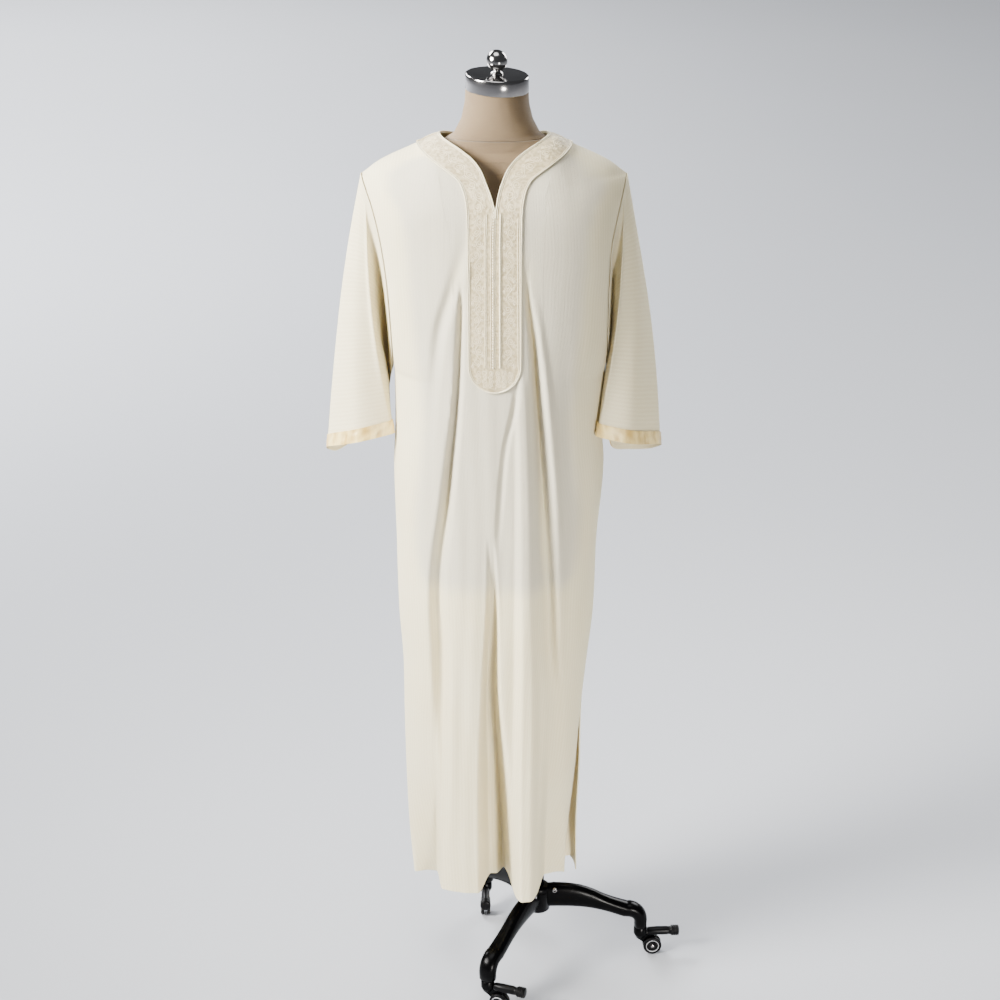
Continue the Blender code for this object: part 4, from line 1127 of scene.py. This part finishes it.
def make_wheel(name, rubber, pale, across):
    """Two halves, each with a pale ring and an axle cap, and the axle between them."""
    body = f"wheel_body_{name}"
    half = ((WHEEL_CUT, 0.0035), (WHEEL_CUT, 0.0160), (WHEEL_CUT + 0.0006, 0.0174), (WHEEL_CUT + 0.0014, 0.0180),
            (WHEEL_HALF - 0.0020, 0.0180), (WHEEL_HALF - 0.0008, 0.0173), (WHEEL_HALF, 0.0158), (WHEEL_HALF, 0.0128),
            (WHEEL_HALF - 0.0010, 0.0122), (WHEEL_HALF - 0.0010, 0.0060), (WHEEL_HALF, 0.0052), (WHEEL_HALF, 0.0008))
    ring = [(WHEEL_HALF + up, radius) for up, radius in ((-0.0012, 0.0124), (0.0002, 0.0123), (0.0004, 0.0120),
                                                        (0.0002, 0.0116), (-0.0012, 0.0115), (-0.0012, 0.0124))]
    cap = [(WHEEL_HALF + up, radius) for up, radius in ((-0.0014, 0.0034), (0.0004, 0.0034), (0.0009, 0.0026),
                                                       (0.0010, 0.0004))]
    for side, label in ((-1, "near"), (1, "far")):
        tyre, hoop, stud = ([(side * out, radius) for out, radius in rows] for rows in (half, ring, cap))
        replaced = (f"wheel_{name}",) if side < 0 else ()
        on_body(turned(f"wheel_{label}_{name}", tyre, rubber, 48, across), body, "black_plastic", *replaced)
        on_body(turned(f"wheel_ring_{label}_{name}", hoop, pale, 48, across, ends=False), body, "black_plastic")
        on_body(turned(f"axle_cap_{label}_{name}", stud, chrome(), 20, across), body, "chrome")
    axle = ((-WHEEL_CUT - 0.001, 0.0026), (WHEEL_CUT + 0.001, 0.0026))
    on_body(turned(f"axle_{name}", axle, chrome(), 16, across), body, "chrome")


def make_lever(name, rubber, place):
    """The brake's lever: a round bar, and a tread with three grooves."""
    bar = [(PEDAL_FROM, 0.0062), (PEDAL_FROM + 0.003, 0.0078), (0.030, 0.0084), (PEDAL_TO - 0.024, 0.0084),
           (PEDAL_TO - 0.021, 0.0078), (PEDAL_TO - 0.0175, 0.0080), (PEDAL_TO - 0.0160, 0.0092)]
    bar += [(PEDAL_TO - 0.0145 + 0.004 * groove + step, radius) for groove in range(3)
            for step, radius in ((0.0, 0.0104), (0.0022, 0.0104), (0.0031, 0.0096))]
    bar += [(PEDAL_TO - 0.0020, 0.0104), (PEDAL_TO - 0.0006, 0.0092), (PEDAL_TO, 0.0064)]
    turn = circle(28)
    rings = [placed(np.stack((np.full(29, out), radius * np.cos(turn), PEDAL_MIDDLE + radius * np.sin(turn)), axis=1),
                    place) for out, radius in bar]
    on_body(ringed(f"brake_lever_{name}", rings, rubber), f"pedal_body_{name}", "black_plastic", f"pedal_{name}")


# Floor, light and camera

LAMPS = (   # place, what it points at, size, power, spread in degrees and colour
    ("key", (-3.3, -1.6, 3.1), (0, 0, 1.6), 2.0, 160, 62, (1.0, 0.985, 0.95)),
    ("skirt_light", (1.6, -3.6, 0.5), (0.05, 0, 0.35), 0.9, 18, 50, (1.0, 0.97, 0.92)),
    ("far_backdrop", (-4.5, 11.0, 6.0), (-4.5, 11.1, 0), 5.0, 1400, 180, (0.97, 0.98, 1.0)),
    ("near_backdrop", (-3.8, 4.4, 5.0), (-3.8, 4.5, 0), 4.0, 1350, 180, (0.97, 0.98, 1.0)),
    ("back", (2.2, 3.2, 2.6), (0, 0, 1.0), 2.0, 24, 60, (0.98, 0.99, 1.0)),
)


def make_stage():
    mesh = bpy.data.meshes.new("floor")
    mesh.from_pydata([(-40, -40, 0), (40, -40, 0), (40, 40, 0), (-40, 40, 0)], [], [(0, 1, 2, 3)])
    mesh.materials.append(pale_floor())
    linked("floor", mesh)
    world = bpy.data.worlds.new("studio")
    world.use_nodes = True
    background = world.node_tree.nodes["Background"].inputs
    background["Color"].default_value = (0.90, 0.93, 1.0, 1)
    background["Strength"].default_value = 0.12
    bpy.context.scene.world = world
    overhead = bpy.data.lights.new("overhead", "SUN")
    overhead.energy, overhead.angle, overhead.color = 2.0, radians(40), (0.98, 0.99, 1.0)
    add_lamp(overhead, (-0.3, -0.5, 4.0), (0, 0, 0))
    for name, place, target, size, power, spread, tint in LAMPS:
        light = bpy.data.lights.new(name, "AREA")
        light.shape, light.size, light.energy, light.color = "DISK", size, power, tint
        light.spread = radians(spread)
        add_lamp(light, place, target)


def add_lamp(light, place, target):
    lamp = linked(light.name, light)
    lamp.location = place
    lamp.rotation_euler = (Vector(target) - Vector(place)).to_track_quat("-Z", "Y").to_euler()


def make_camera():
    camera = bpy.data.cameras.new("photo view")
    camera.lens, camera.sensor_width = 76.64, 36.0
    thing = linked("photo view", camera)
    thing.location = (ROBE_AT[0] + 0.005, ROBE_AT[1] - 3.557, 2.347)
    thing.rotation_euler = (radians(90 - 21.34), 0, 0)
    bpy.context.scene.camera = thing


# Building the scene, piece by piece

make_camera()
make_stage()
body_weaves = make_body()
sleeve_weaves = make_sleeves()
band_weaves = make_bands()
make_embroidery(band_weaves)
make_cords(band_weaves)
make_sewing(body_weaves, sleeve_weaves, band_weaves)
make_form()
make_stand()
